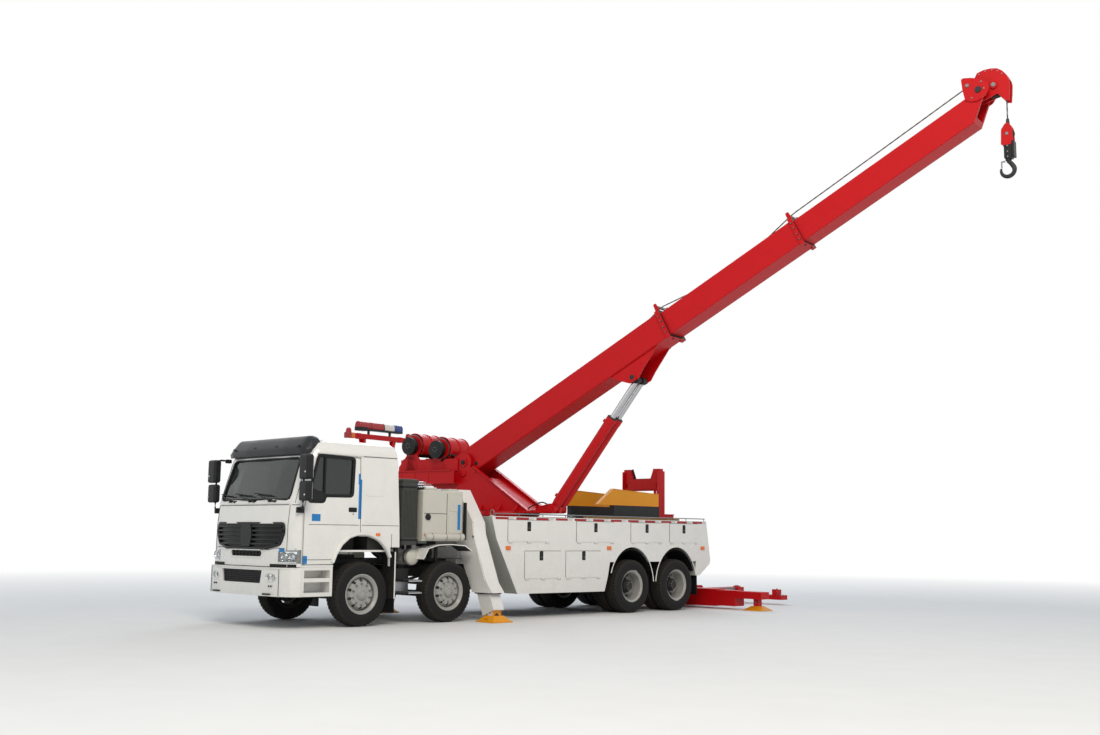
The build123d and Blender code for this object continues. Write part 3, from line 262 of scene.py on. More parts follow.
def wire_rope():
    """Galvanised rope of six strands: greasy grey with a 30 mm lay, drawn at 60 mm."""
    r = Recipe("wire rope, galvanised", Metallic=0.6, Roughness=0.5)
    lay = r.texture("Wave", Scale=5.0, Distortion=0.0, bands_direction="DIAGONAL")
    r.colour(lay, linear("#3B3A37"), linear("#77746D"))
    r.bump(lay, 0.8, 0.004)
    return r.material


def chequer_plate():
    """Rolled tread plate, painted: diamond bars 30 mm apart, drawn at 60 mm."""
    r = Recipe("tread plate, rolled", Roughness=0.55, Metallic=0.3)
    bars = r.texture("Brick", r.stretched(Rotation=(0, 0, math.radians(45))), "Color", Scale=8.0,
                     Mortar_Size=0.03, Color1=(1, 1, 1, 1), Color2=(0.7, 0.7, 0.7, 1), Mortar=(0, 0, 0, 1))
    r.colour(r.texture("Noise", Scale=5.0, Detail=8.0), linear("#A7A6A0"), linear("#77726A"))
    r.bump(bars, 0.6, 0.003)
    return r.material


def sawn_wood():
    """Sawn pine plank, weathered: long grain with darker streaks."""
    r = Recipe("pine, sawn", Roughness=0.8)
    grain = r.texture("Noise", r.stretched(Scale=(20, 1.2, 20)), Scale=6.0, Detail=8.0)
    r.colour(grain, linear("#C79A5B"), linear("#8A6438"))
    r.bump(grain, 0.4, 0.003)
    return r.material


def tape(name, code, rough=0.45):
    """Glass-bead reflective or crepe tape: slightly pebbled film."""
    r = Recipe(name, Roughness=rough)
    bead = r.texture("Voronoi", output="Distance", Scale=160.0)
    r.colour(bead, linear(code), tinted(linear(code), 0.8))
    r.bump(bead, 0.2, 0.001)
    return r.material


M = {}


def mix_paints(colours):
    """Make every finish once."""
    M["white"] = enamel("cab enamel, sprayed white", tuple(colours.white), 0.26, 0.5, amount=0.12)
    M["red"] = enamel("boom enamel, sprayed red", tuple(colours.red), 0.44, 0.03, "#6E2A24", 0.06, 0.06, 0.26)
    M["yellow"] = enamel("foot plate enamel, yellow", tuple(colours.yellow), 0.4, 0.1, "#7A6038", 0.1,
                         shine=0.3)
    M["chassis"] = enamel("chassis paint, black", tuple(colours.chassis), 0.5, 0.05, "#5A5248", 0.35,
                          shine=0.3)
    M["wheel"] = enamel("wheel enamel, grey", tuple(colours.wheel), 0.38, 0.2, "#7C7265", 0.4)
    # the cabinet, its fittings and the air reservoir get white enamel drawn grey-white: painted shade
    M["cabinet"] = enamel("cabinet enamel, white with painted shade", tuple(colours.cabinet), 0.4, 0.2)
    # grey: the body's white enamel drawn grey, as painted shade on its forward faces, its inner faces and the
    # flaps' inner faces
    M["grey"] = enamel("body enamel, white with painted shade", linear("#B6B8B1"), 0.42, 0.2)
    M["black"] = moulded("ABS, moulded black", "#0F1012", 0.42)
    M["cleaner"] = moulded("polyethylene, moulded grey", "#363733", 0.5)
    M["visor"] = moulded("acrylic, moulded dark grey", "#1C1F23", 0.3, 300.0, 0.1)
    M["seal"] = moulded("EPDM rubber, extruded", "#0B0B0C", 0.6)
    M["trim"] = moulded("cab lining, moulded grey", "#3A3936", 0.7)
    M["tyre"] = tyre_rubber()
    M["chrome"] = bare_metal("hard chrome, ground", "#D9DBDD", 0.1)
    M["steel"] = bare_metal("steel, rolled bare", "#8E8F90", 0.35)
    M["alloy"] = bare_metal("aluminium, brushed", "#B9BBBD", 0.3)
    M["iron"] = cast_iron()
    M["glass"] = safety_glass()
    M["clear"] = lens("polycarbonate, clear", "#E8EEF0", 0.85)
    M["amber"] = lens("acrylic lens, amber", "#F0741A", 0.25)
    M["ruby"] = lens("acrylic lens, red", "#B01420", 0.25)
    M["azure"] = lens("acrylic lens, blue", "#1F3F94", 0.25)
    M["opal"] = lens("acrylic lens, opal", "#E6E4DE", 0.1)
    M["rope"] = wire_rope()
    M["plate"] = chequer_plate()
    M["pine"] = sawn_wood()
    M["tape_red"] = tape("reflective tape, red", "#A9131C")
    M["tape_white"] = tape("reflective tape, white", "#D8D8D2")
    M["tape_blue"] = tape("crepe tape, blue", "#1F7FC4", 0.6)


# SHAPES
# angles in radians above which an edge is bevelled, rounded, or shaded sharp
BEVELLED = 0.3
ROUNDED = 0.5
SHARP = 0.6


def oriented(axis, along, u, v):
    """Point from a place along an axis and its two other coordinates, in x, y, z order."""
    return {"x": (along, u, v), "y": (u, along, v), "z": (u, v, along)}[axis]


def spokes(count, first=0.0, step=None):
    """Cosine and sine of angles in degrees, spread over a full turn unless a step is given."""
    step = 360.0 / count if step is None else step
    angles = [math.radians(first + step * k) for k in range(count)]
    return [(math.cos(a), math.sin(a)) for a in angles]


def strip(back, front, half, lip=None):
    """Section of a flat trim strip; the lip is its half height at the front."""
    lip = half if lip is None else lip
    return [(back, -half), (front, -lip), (front, lip), (back, half)]


class Maker:
    """Collects solids in one mesh, in metres of the chosen frame."""

    def __init__(self, where=LORRY):
        self.bm = bmesh.new()
        self.where = where
        self.at = Matrix.Identity(4)
        self.finishes = []

    def finish_index(self, name):
        if name not in self.finishes:
            self.finishes.append(name)
        return self.finishes.index(name)

    def solid(self, points, faces, finish, bevel=0.0, rounds=2):
        """One closed solid from corner points and face index lists."""
        verts = [self.bm.verts.new(self.at @ Vector(p)) for p in points]
        index = self.finish_index(finish)
        made = []
        for f in faces:
            face = self.bm.faces.new([verts[i] for i in f])
            face.material_index = index
            made.append(face)
        bmesh.ops.recalc_face_normals(self.bm, faces=made)
        if bevel:
            edges = list({e for f in made for e in f.edges if e.calc_face_angle(0.0) > BEVELLED})
            bmesh.ops.bevel(self.bm, geom=edges, offset=bevel, segments=rounds, profile=0.6,
                            affect="EDGES", clamp_overlap=True, material=-1)

    def skin(self, points, around, rows, finish, closed=False):
        """Solid from rows of points round a path, its ends capped unless it is closed."""
        faces = []
        for i in range(rows if closed else rows - 1):
            a, b = i * around, (i + 1) % rows * around
            faces += [(a + j, a + (j + 1) % around, b + (j + 1) % around, b + j) for j in range(around)]
        if not closed:
            faces += [tuple(range(around)), tuple(range(rows * around - 1, (rows - 1) * around - 1, -1))]
        self.solid(points, faces, finish)

    def box(self, x0, x1, y0, y1, z0, z1, finish, bevel=0.004, rounds=2):
        points = [(x, y, z) for x in (x0, x1) for y in (y0, y1) for z in (z0, z1)]
        faces = [(0, 1, 3, 2), (4, 6, 7, 5), (0, 4, 5, 1), (2, 3, 7, 6), (0, 2, 6, 4), (1, 5, 7, 3)]
        self.solid(points, faces, finish, bevel, rounds)

    def slab(self, x, half, y0, y1, z0, z1, finish, bevel=0.004, rounds=2):
        """Box from its middle and half width across the lorry."""
        self.box(x - half, x + half, y0, y1, z0, z1, finish, bevel, rounds)

    def prism(self, axis, outline, a, b, finish, bevel=0.004, rounds=2):
        """Outline in the two other axes, in x, y, z order, from a to b along the axis."""
        n = len(outline)
        points = [oriented(axis, end, u, v) for end in (a, b) for u, v in outline]
        faces = [tuple(range(n)), tuple(range(2 * n - 1, n - 1, -1))]
        faces += [(i, (i + 1) % n, n + (i + 1) % n, n + i) for i in range(n)]
        self.solid(points, faces, finish, bevel, rounds)

    def plate(self, axis, u0, u1, v0, v1, corner, a, b, finish, bevel=0.004, rounds=2):
        """Plate with rounded corners, from a to b along the axis."""
        self.prism(axis, eased([(u0, v0), (u1, v0), (u1, v1), (u0, v1)], corner), a, b, finish, bevel, rounds)

    def lathe(self, outline, finish, steps=32, centre=(0, 0, 0), axis="x", wave=None):
        """Closed outline of (along, radius) turned about an axis through the centre."""
        n = len(outline)
        points = []
        for k, (c, d) in enumerate(spokes(steps)):
            for i, (s, r) in enumerate(outline):
                if wave:
                    r = wave(k, s, r)
                points.append([p + q for p, q in zip(oriented(axis, s, r * c, r * d), centre)])
        faces = []
        for k in range(steps):
            a, b = k * n, (k + 1) % steps * n
            faces += [(a + i, a + (i + 1) % n, b + (i + 1) % n, b + i) for i in range(n)]
        self.solid(points, faces, finish)

    def rod(self, a, b, r, finish, sides=16, r2=None, lip=0.0):
        """Round bar between two points, its rim eased by the lip."""
        a, b = Vector(a), Vector(b)
        r2 = r if r2 is None else r2
        way = b - a
        turn = way.to_track_quat("Z", "Y").to_matrix()
        stops = [(0, r), (1, r2)]
        if lip:
            k = lip / way.length
            stops = [(0, r - lip), (k, r), (1 - k, r2), (1, r2 - lip)]
        ring = spokes(sides)
        points = [a + way * t + turn @ Vector((rad * c, rad * s, 0)) for t, rad in stops for c, s in ring]
        self.skin(points, sides, len(stops), finish)

    def pin(self, axis, u, v, a, b, r, finish, sides=16, lip=0.0):
        """Round bar from a to b along an axis, at its place in the two other axes."""
        self.rod(oriented(axis, a, u, v), oriented(axis, b, u, v), r, finish, sides, lip=lip)

    def sweep(self, path, section, finish, closed=False, up=(0, 0, 1)):
        """Section of (side, up) points carried along a path."""
        path = [Vector(p) for p in path]
        up = Vector(up)
        n = len(path)
        points = []
        for i, p in enumerate(path):
            before = path[i - 1] if i or closed else p
            after = path[(i + 1) % n] if i < n - 1 or closed else p
            way = (after - before).normalized()
            side = way.cross(up)
            if side.length < 1e-4:
                side = way.cross(Vector((1, 0, 0)))
            side.normalize()
            top = side.cross(way)
            points += [p + side * u + top * v for u, v in section]
        self.skin(points, len(section), n, finish, closed)

    def cord(self, path, r, finish, closed=False, sides=8, up=(0, 0, 1)):
        self.sweep(path, [(r * c, r * s) for c, s in spokes(sides)], finish, closed, up)

    def tube(self, path, radii, finish, sides=16):
        """Round bar of changing thickness in a plane across x."""
        pts = [Vector(p) for p in path]
        points = []
        for i, p in enumerate(pts):
            way = (pts[min(i + 1, len(pts) - 1)] - pts[max(i - 1, 0)]).normalized()
            side = Vector((1, 0, 0))
            points += [p + side * radii[i] * c + side.cross(way) * radii[i] * s for c, s in spokes(sides)]
        self.skin(points, sides, len(pts), finish)

    def out(self, name, body, slot=None, replaced=(), soft=SHARP):
        """Turn the mesh into a piece that rides on a body."""
        shade(self.bm, soft)
        return settle(placed(self.bm, name, self.finishes, self.where), body, replaced)


def shade(bm, soft):
    for f in bm.faces:
        f.smooth = True
    for e in bm.edges:
        e.smooth = e.calc_face_angle(0.0) < soft


def placed(bm, name, finishes, where=Matrix.Identity(4)):
    """Object made of the mesh and its finishes."""
    mesh = bpy.data.meshes.new(name)
    bm.to_mesh(mesh)
    bm.free()
    for finish in finishes:
        mesh.materials.append(M[finish])
    obj = bpy.data.objects.new(name, mesh)
    bpy.context.scene.collection.objects.link(obj)
    obj.matrix_world = where
    return obj


def settle(obj, body, replaced=()):
    """Soft shading weighted by area, the body it rides on, and what it stands for."""
    even = obj.modifiers.new("even shading", "WEIGHTED_NORMAL")
    even.keep_sharp = True
    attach(obj, body)
    if replaced:
        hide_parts(*replaced)
    return obj


BODY_OF = {node: body for body, nodes in frame["record"]["behaviour"]["bodies"].items() for node in nodes}
# distance that welds corners, angle that joins flats
WELD = 0.00005
FLAT = math.radians(0.5)


def dress(node, finish, rules=(), where=LORRY, rounded=None):
    """A CAD solid as a piece: corners welded, flats joined, finishes by region, chosen edges rounded.

    rules: (finish, test of face centre and normal in the chosen frame)
    rounded: (test of edge ends in the chosen frame, radius, steps)
    """
    bm = bmesh.new()
    bm.from_mesh(frame["nodes"][node].data)
    bmesh.ops.remove_doubles(bm, verts=bm.verts, dist=WELD)
    bmesh.ops.dissolve_limit(bm, angle_limit=FLAT, verts=bm.verts, edges=bm.edges)
    back = where.inverted()
    turn = back.to_3x3()
    if rounded:
        test, radius, steps = rounded
        chosen = [e for e in bm.edges if e.calc_face_angle(0.0) > ROUNDED
                  and test(back @ e.verts[0].co, back @ e.verts[1].co)]
        bmesh.ops.bevel(bm, geom=chosen, offset=radius, segments=steps, profile=0.5, affect="EDGES",
                        clamp_overlap=False, material=-1)
    finishes = [finish]
    for face in bm.faces:
        face.material_index = 0
        centre = back @ face.calc_center_median()
        normal = turn @ face.normal
        for other, test in rules:
            if test(centre, normal):
                if other not in finishes:
                    finishes.append(other)
                face.material_index = finishes.index(other)
                break
    shade(bm, SHARP)
    settle(placed(bm, node + "_dressed", finishes), BODY_OF[node], (node,))


def grown(outline, gap):
    """Outline moved outwards by the gap, for either turning sense."""
    n = len(outline)
    ahead = outline[1:] + outline[:1]
    area = sum(a[0] * b[1] - b[0] * a[1] for a, b in zip(outline, ahead))
    way = gap if area > 0 else -gap
    out = []
    for i in range(n):
        a, b, c = Vector(outline[i - 1]), Vector(outline[i]), Vector(outline[(i + 1) % n])
        p, q = (b - a).normalized(), (c - b).normalized()
        m = Vector((p.y + q.y, -p.x - q.x))
        m = m / max(m.length_squared / 2, 0.3)
        out.append((b.x + m.x * way, b.y + m.y * way))
    return out


def eased(outline, radius, steps=4):
    """Outline with each corner rounded."""
    out = []
    n = len(outline)
    for i in range(n):
        a, b, c = Vector(outline[i - 1]), Vector(outline[i]), Vector(outline[(i + 1) % n])
        r = min(radius, (a - b).length * 0.45, (c - b).length * 0.45)
        p, q = b + (a - b).normalized() * r, b + (c - b).normalized() * r
        for t in [k / steps for k in range(steps + 1)]:
            out.append(tuple(p * (1 - t) ** 2 + b * 2 * t * (1 - t) + q * t ** 2))
    return out


def smooth(points, steps=6):
    """Round a route of points with a Catmull curve."""
    pts = [Vector(p) for p in points]
    pts = [pts[0] * 2 - pts[1]] + pts + [pts[-1] * 2 - pts[-2]]
    out = []
    for a, b, c, d in zip(pts, pts[1:], pts[2:], pts[3:]):
        for t in [k / steps for k in range(steps)]:
            bend = (2 * a - 5 * b + 4 * c - d) * t ** 2 + (3 * b - a - 3 * c + d) * t ** 3
            out.append(0.5 * (2 * b + (c - a) * t + bend))
    return out + [pts[-2]]


# CAB SURFACE
# columns: height, half width, side front y, corner x, corner y, front corner x, front corner y,
#          front middle x, front middle y
CAB_ROWS = (
    (0.950, 1.240, -1.120, 1.205, -1.265, 1.075, -1.360, 0.560, -1.425),
    (1.611, 1.240, -1.120, 1.205, -1.262, 1.072, -1.350, 0.560, -1.415),
    (1.958, 1.240, -1.110, 1.200, -1.235, 1.066, -1.317, 0.560, -1.368),
    (2.652, 1.238, -0.960, 1.190, -1.040, 1.035, -1.102, 0.560, -1.140),
    (2.780, 1.215, -0.930, 1.160, -1.000, 1.010, -1.050, 0.540, -1.085),
    (2.880, 1.150, -0.850, 1.100, -0.920, 0.960, -0.960, 0.520, -0.990),
    (2.933, 1.060, -0.760, 1.010, -0.820, 0.900, -0.850, 0.500, -0.870),
)


def cab_front(x, z, proud=0.0):
    """Point on the cab's front surface at a sideways place and height, standing proud of it."""
    k = 0
    while k < len(CAB_ROWS) - 2 and z > CAB_ROWS[k + 1][0]:
        k += 1
    a, b = CAB_ROWS[k], CAB_ROWS[k + 1]
    t = (z - a[0]) / (b[0] - a[0])
    row = [p + (q - p) * t for p, q in zip(a, b)]
    line = [(0.0, row[8]), (row[7], row[8]), (row[5], row[6]), (row[3], row[4]), (row[1], row[2])]
    u = abs(x)
    for (x0, y0), (x1, y1) in zip(line, line[1:]):
        if u <= x1:
            return (x, y0 + (y1 - y0) * (u - x0) / max(x1 - x0, 1e-6) - proud, z)
    return (x, row[2] - proud, z)


def on_front(places, proud):
    """Path on the cab's front through (x, z) places."""
    return [cab_front(x, z, proud) for x, z in places]


def across(x0, x1, z, proud=0.0, steps=24):
    return [cab_front(x0 + (x1 - x0) * i / steps, z, proud) for i in range(steps + 1)]


def round_front(outline, proud, steps=2):
    """Closed path on the cab's front through an (x, z) outline."""
    path = []
    for (x0, z0), (x1, z1) in zip(outline, outline[1:] + outline[:1]):
        for t in [k / steps for k in range(steps)]:
            path.append(cab_front(x0 + (x1 - x0) * t, z0 + (z1 - z0) * t, proud))
    return path


SIDES = (("left", LORRY), ("right", LORRY @ MIRROR))


def both_sides(maker, draw):
    """Draw once on the left and once mirrored."""
    for at in (Matrix.Identity(4), MIRROR):
        maker.at = at
        draw()
    maker.at = Matrix.Identity(4)


# WHEELS
def tyre_outline(depth):
    """Half of a radial tyre's section from bead to crown, then mirrored."""
    half = [(0.105, 0.280), (0.128, 0.298), (0.140, 0.328), (0.1465, 0.362), (0.150, 0.400), (0.148, 0.438),
            (0.1435, 0.466), (0.137, 0.487), (0.126, 0.500), (0.116, 0.5045), (0.093, 0.507),
            (0.091, 0.507 - depth), (0.079, 0.508 - depth), (0.077, 0.5085), (0.034, 0.5115),
            (0.032, 0.5115 - depth), (0.012, 0.512 - depth), (0.010, 0.512)]
    return half + [(-s, r) for s, r in reversed(half)]


def wheel_places():
    """Number, side and its sign, place along the lorry, and whether it is a single, steered wheel."""
    ends = (("left", 1), ("right", -1))
    return [(number, side, sx, y, number < 3) for number, y in enumerate(AXLES, 1) for side, sx in ends]


def wheel_body(number, side, steered):
    return ("wheel_" if steered else "wheels_") + "%d_%s" % (number, side)


# places across the lorry of the single wheels and of the twins' middle
SINGLE_X = 1.0205
TWIN_X = 0.930
TWIN_HALF = 0.1725
TYRE_STEPS = 144
# the shoulder blocks lie outside these
SHOULDER_R = 0.484
SHOULDER_X = 0.076


def make_tyres(sizes):
    def lugs(k, s, r):
        cut = k % 3 == 0 and r > SHOULDER_R and abs(s) > SHOULDER_X
        return r - sizes.tread * 0.85 if cut else r
    maker = Maker()
    maker.lathe(tyre_outline(sizes.tread), "tyre", TYRE_STEPS, wave=lugs)
    single = maker.out("tyre_front_left", "wheel_1_left", "tyre", ("tyre_axle_1_left",), 0.5)
    twin = Maker()
    for x in (-TWIN_HALF, TWIN_HALF):
        twin.at = Matrix.Translation((x, 0, 0))
        twin.lathe(tyre_outline(sizes.tread), "tyre", TYRE_STEPS, wave=lugs)
    pair = twin.out("tyres_rear_left", "wheels_3_left", "tyre", ("tyres_axle_3_left",), 0.5)
    for number, side, sx, y, steered in wheel_places():
        first = single if steered else pair
        where = LORRY @ Matrix.Translation((sx * (SINGLE_X if steered else TWIN_X), y, TYRE_R))
        body = wheel_body(number, side, steered)
        if (number, side) in ((1, "left"), (3, "left")):
            first.parent = None
            first.matrix_world = where
            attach(first, body)
        else:
            name = ("tyre" if steered else "tyres") + "_axle_%d_%s" % (number, side)
            obj = bpy.data.objects.new(name + "_dressed", first.data)
            bpy.context.scene.collection.objects.link(obj)
            obj.matrix_world = where
            settle(obj, body, (name,))


def nut_ring(maker, x, circle, count, finish, size=0.0165, stud=0.036):
    for c, s in spokes(count, 180.0 / count):
        y, z = circle / 2 * c, circle / 2 * s
        maker.pin("x", y, z, x - 0.002, x + 0.024, size, finish, 6, 0.003)
        if stud:
            maker.pin("x", y, z, x, x + stud, size * 0.6, finish, 8, 0.002)


def make_rims(sizes):
    single = [("chassis", lambda c, n: c.x < 1.03)]
    twin = [("chassis", lambda c, n: c.x > 0.95 and math.hypot(c.y, c.z) < 0.168
             or c.x < 0.86 and math.hypot(c.y, c.z) < 0.21)]
    for number, side, sx, y, steered in wheel_places():
        centre = LORRY @ Matrix.Translation((0, y, TYRE_R)) @ (MIRROR if sx < 0 else Matrix.Identity(4))
        node = ("rim" if steered else "rims") + "_axle_%d_%s" % (number, side)
        dress(node, "wheel", single if steered else twin, centre)
        maker = Maker(centre)
        # nuts, hub cap with its own screws, valve
        if steered:
            nut_ring(maker, 1.1445, sizes.nut_circle, sizes.nuts, "steel")
            cap = [(1.170, 0.0), (1.170, 0.078), (1.181, 0.074), (1.186, 0.055), (1.189, 0.02), (1.189, 0.0)]
            maker.lathe(cap, "wheel")
            nut_ring(maker, 1.176, 0.12, 8, "steel", 0.006, 0)
            maker.rod((1.12, 0.0, 0.255), (1.155, 0.0, 0.240), 0.006, "steel", 8)
        else:
            nut_ring(maker, 0.944, sizes.nut_circle, sizes.nuts, "iron", 0.0165, 0.045)
            hub = [(1.145, 0.0), (1.145, 0.094), (1.160, 0.090), (1.166, 0.062), (1.168, 0.0)]
            maker.lathe(hub, "iron")
            nut_ring(maker, 1.158, 0.155, 10, "steel", 0.008, 0)
            maker.rod((1.0, 0.0, 0.262), (1.06, 0.0, 0.240), 0.006, "steel", 8)
        maker.out("wheel_nuts_%d_%s" % (number, side), wheel_body(number, side, steered), "cast_steel")


def make_chassis():
    dress("frame", "chassis", [("iron", lambda c, n: abs(c.x) < 0.31 and c.y < 1.43),
                               ("red", lambda c, n: c.y > 8.6 or c.z > 1.3)])
    dress("axles", "iron")
    for number in (1, 2):
        for side in ("left", "right"):
            dress("knuckle_axle_%d_%s" % (number, side), "iron")
    maker = Maker()

    def lines():
        # air and brake lines along the rails, their bolted brackets
        for z in (0.98, 0.945, 0.91):
            maker.cord([(0.438, y, z) for y in (-0.9, 2.2, 5.8, 8.6)], 0.008, "seal", sides=6)
        for y in (-0.7, 0.7, 1.1, 2.5, 5.7, 7.07):
            maker.box(0.43, 0.446, y - 0.09, y + 0.09, 0.79, 1.02, "chassis", 0.003)
            for dy in (-0.06, 0.06):
                for z in (0.83, 0.97):
                    maker.pin("x", y + dy, z, 0.444, 0.458, 0.011, "steel", 6)
    both_sides(maker, lines)
    maker.out("chassis_fittings", "chassis", "frame_paint")


# CAB
# columns: y, z
DOOR = [(-1.195, 0.985), (-0.625, 0.985), (-0.560, 1.130), (-0.460, 1.280), (-0.330, 1.385), (-0.200, 1.430),
        (-0.118, 1.445), (-0.158, 2.673), (-0.975, 2.690), (-1.195, 1.860)]
DOOR_WINDOW = [(-1.110, 1.960), (-0.835, 1.960), (-0.815, 2.055), (-0.300, 2.062), (-0.280, 2.655),
               (-0.955, 2.675), (-1.115, 2.050)]
ARCH = [(-0.640, 0.955), (-0.628, 1.010), (-0.575, 1.140), (-0.475, 1.290), (-0.340, 1.395), (-0.200, 1.440),
        (-0.080, 1.445), (0.040, 1.432), (0.140, 1.400), (0.240, 1.350), (0.330, 1.275), (0.400, 1.190),
        (0.450, 1.090), (0.482, 0.960)]
# columns: x, z
WINDSCREEN = [(1.015, 1.985), (0.975, 2.640), (-0.975, 2.640), (-1.015, 1.985)]
GRILLE = [(0.967, 1.611), (-0.967, 1.611), (-0.990, 1.470), (-0.900, 1.290), (-0.560, 1.225), (0.560, 1.225),
          (0.900, 1.290), (0.990, 1.470)]
SLOT = [(0.440, 1.200), (-0.440, 1.200), (-0.470, 1.145), (-0.440, 1.090), (0.440, 1.090), (0.470, 1.145)]
SEAM = 0.0045
CAB_SIDE = 1.241


def make_cab_shell():
    def lining(c, n):
        inside = abs(c.x) < 1.18 and -1.2 < c.y < 0.52 and 1.18 < c.z < 2.78
        return inside and n.z * (c.z - 2.0) <= 0.5 and (abs(n.x) > 0.5 and c.x * n.x < 0 or abs(n.z) > 0.9)
    dress("cab_shell", "white", [("trim", lining), ("chassis", lambda c, n: c.z < 1.17 and n.z < -0.5)])
    maker = Maker()
    # front: strip below the windscreen, panel joints
    maker.sweep(across(-1.05, 1.05, 1.935, 0.004),
                [(-0.006, -0.02), (0.008, -0.02), (0.012, 0), (0.008, 0.02), (-0.006, 0.02)], "white")
    maker.cord(across(-1.19, 1.19, 1.900, 0.001), SEAM, "seal")

    def joints():
        beside = [(1.055, z) for z in (1.90, 1.8, 1.7, 1.6, 1.5, 1.4, 1.3, 1.2)]
        maker.cord(on_front(beside, 0.001), SEAM, "seal")
        below = ((0.50, 1.21), (0.62, 1.205), (0.80, 1.235), (1.0, 1.225), (1.19, 1.225))
        maker.cord(on_front(below, 0.001), SEAM, "seal")
        # side: crease, roof joint, rear quarter joint
        maker.cord([(CAB_SIDE, -1.10, 1.602), (CAB_SIDE, -0.16, 1.602)], SEAM * 0.8, "seal")
        maker.cord([(CAB_SIDE, -0.10, 1.602), (1.2405, 0.64, 1.602)], SEAM * 0.8, "seal")
        maker.cord([(1.2385, -0.10, 2.700), (1.236, 0.57, 2.700)], SEAM, "seal")
        maker.cord([(CAB_SIDE, 0.50, 1.05), (CAB_SIDE, 0.50, 1.47)], SEAM * 0.8, "seal")
        # pressed panels behind the door
        for z0, z1 in ((2.065, 2.640), (1.640, 1.950)):
            outline = eased([(-0.045, z0), (0.335, z0), (0.335, z1), (-0.045, z1)], 0.07)
            maker.prism("x", outline, 1.232, 1.2455, "white", 0.006, 3)
            maker.prism("x", grown(outline, -0.03), 1.24, 1.2475, "white", 0.005, 2)
        # drip rail over the door
        maker.sweep([(1.238, -0.985, 2.715), (1.238, -0.5, 2.71), (1.238, -0.13, 2.705)],
                    [(-0.002, -0.010), (0.014, -0.008), (0.016, 0.004), (-0.002, 0.010)], "white")
        # wheel arch lip
        lip = [(0.030 * c, 0.046 * s) for c, s in spokes(12)]
        maker.sweep([(1.243, y, z) for y, z in grown(ARCH, 0.02)[1:-1]], lip, "white", up=(1, 0, 0))
        # side marker lamp, screen pillar joint
        maker.plate("x", 0.185, 0.265, 1.435, 1.480, 0.012, 1.239, 1.252, "amber")
        maker.cord(on_front(((1.125, 1.93), (1.12, 2.2), (1.11, 2.6)), 0.002), SEAM, "seal")
    both_sides(maker, joints)
    # rubber round the windscreen
    maker.cord(round_front(eased(WINDSCREEN, 0.09), 0.002), 0.017, "seal", closed=True)
    maker.out("cab_joints", "chassis", "white_paint")
    # pressings of the rear wall
    rear = Maker()
    for x in (-0.75, 0.0, 0.75):
        rear.plate("y", x - 0.26, x + 0.26, 1.35, 2.45, 0.06, 0.60, 0.665, "white", 0.006)
    rear.out("cab_rear_panels", "chassis", "white_paint")


def make_doors():
    for side, where in SIDES:
        dress("cab_door_" + side, "white", [("trim", lambda c, n: n.x < -0.5)], where)
        dress("door_glass_" + side, "glass", (), where)
        maker = Maker(where)
        # black window surround, 50 mm wide
        window = eased(DOOR_WINDOW, 0.05, 3)
        outer, inner = grown(window, 0.028), grown(window, -0.022)
        rings = ((1.2335, outer), (1.2430, outer), (1.2430, inner), (1.2335, inner))
        points = [(x, y, z) for x, ring in rings for y, z in ring]
        maker.skin(points, len(outer), 4, "seal", closed=True)
        # quarter light bar and mirror mount panel
        maker.box(1.226, 1.2435, -0.845, -0.815, 1.97, 2.665, "seal", 0.003)
        mount = [(-1.10, 1.965), (-0.84, 1.965), (-0.84, 2.10), (-1.07, 2.16)]
        maker.prism("x", mount, 1.228, 1.2425, "black")
        # handle in its recess, lock below it
        maker.plate("x", -0.365, -0.205, 1.805, 1.880, 0.02, 1.236, 1.2425, "black", 0.003)
        maker.plate("x", -0.350, -0.225, 1.835, 1.868, 0.012, CAB_SIDE, 1.262, "black", 0.006)
        maker.pin("x", -0.275, 1.775, 1.238, 1.246, 0.012, "steel", 12)
        # door edge rubber and lower rubbing strip
        edge = [(1.2395, y, z) for y, z in grown(DOOR, -0.004)]
        maker.cord(edge, 0.0035, "seal", closed=True, up=(1, 0, 0))
        maker.cord([(1.2405, y, 1.062) for y in (-1.16, -0.62)], 0.004, "seal")
        # blue masking tape left on the rear edge and below the mirror
        if side == "left":
            for face in ((1.2412, -0.178, -0.118, 1.70, 2.33), (1.2414, -0.190, -0.150, 2.25, 2.42),
                         (1.2412, -1.05, -0.89, 1.655, 1.765), (1.2412, -1.185, -1.11, 1.00, 1.12)):
                maker.box(1.2400, *face, "tape_blue", 0)
        # lining
        lining = eased([(-1.05, 1.30), (-0.25, 1.50), (-0.25, 1.85), (-1.05, 1.85)], 0.04)
        maker.prism("x", lining, 1.172, 1.190, "trim", 0.006)
        maker.out("door_fittings_" + side, "cab_door_" + side, "white_paint")


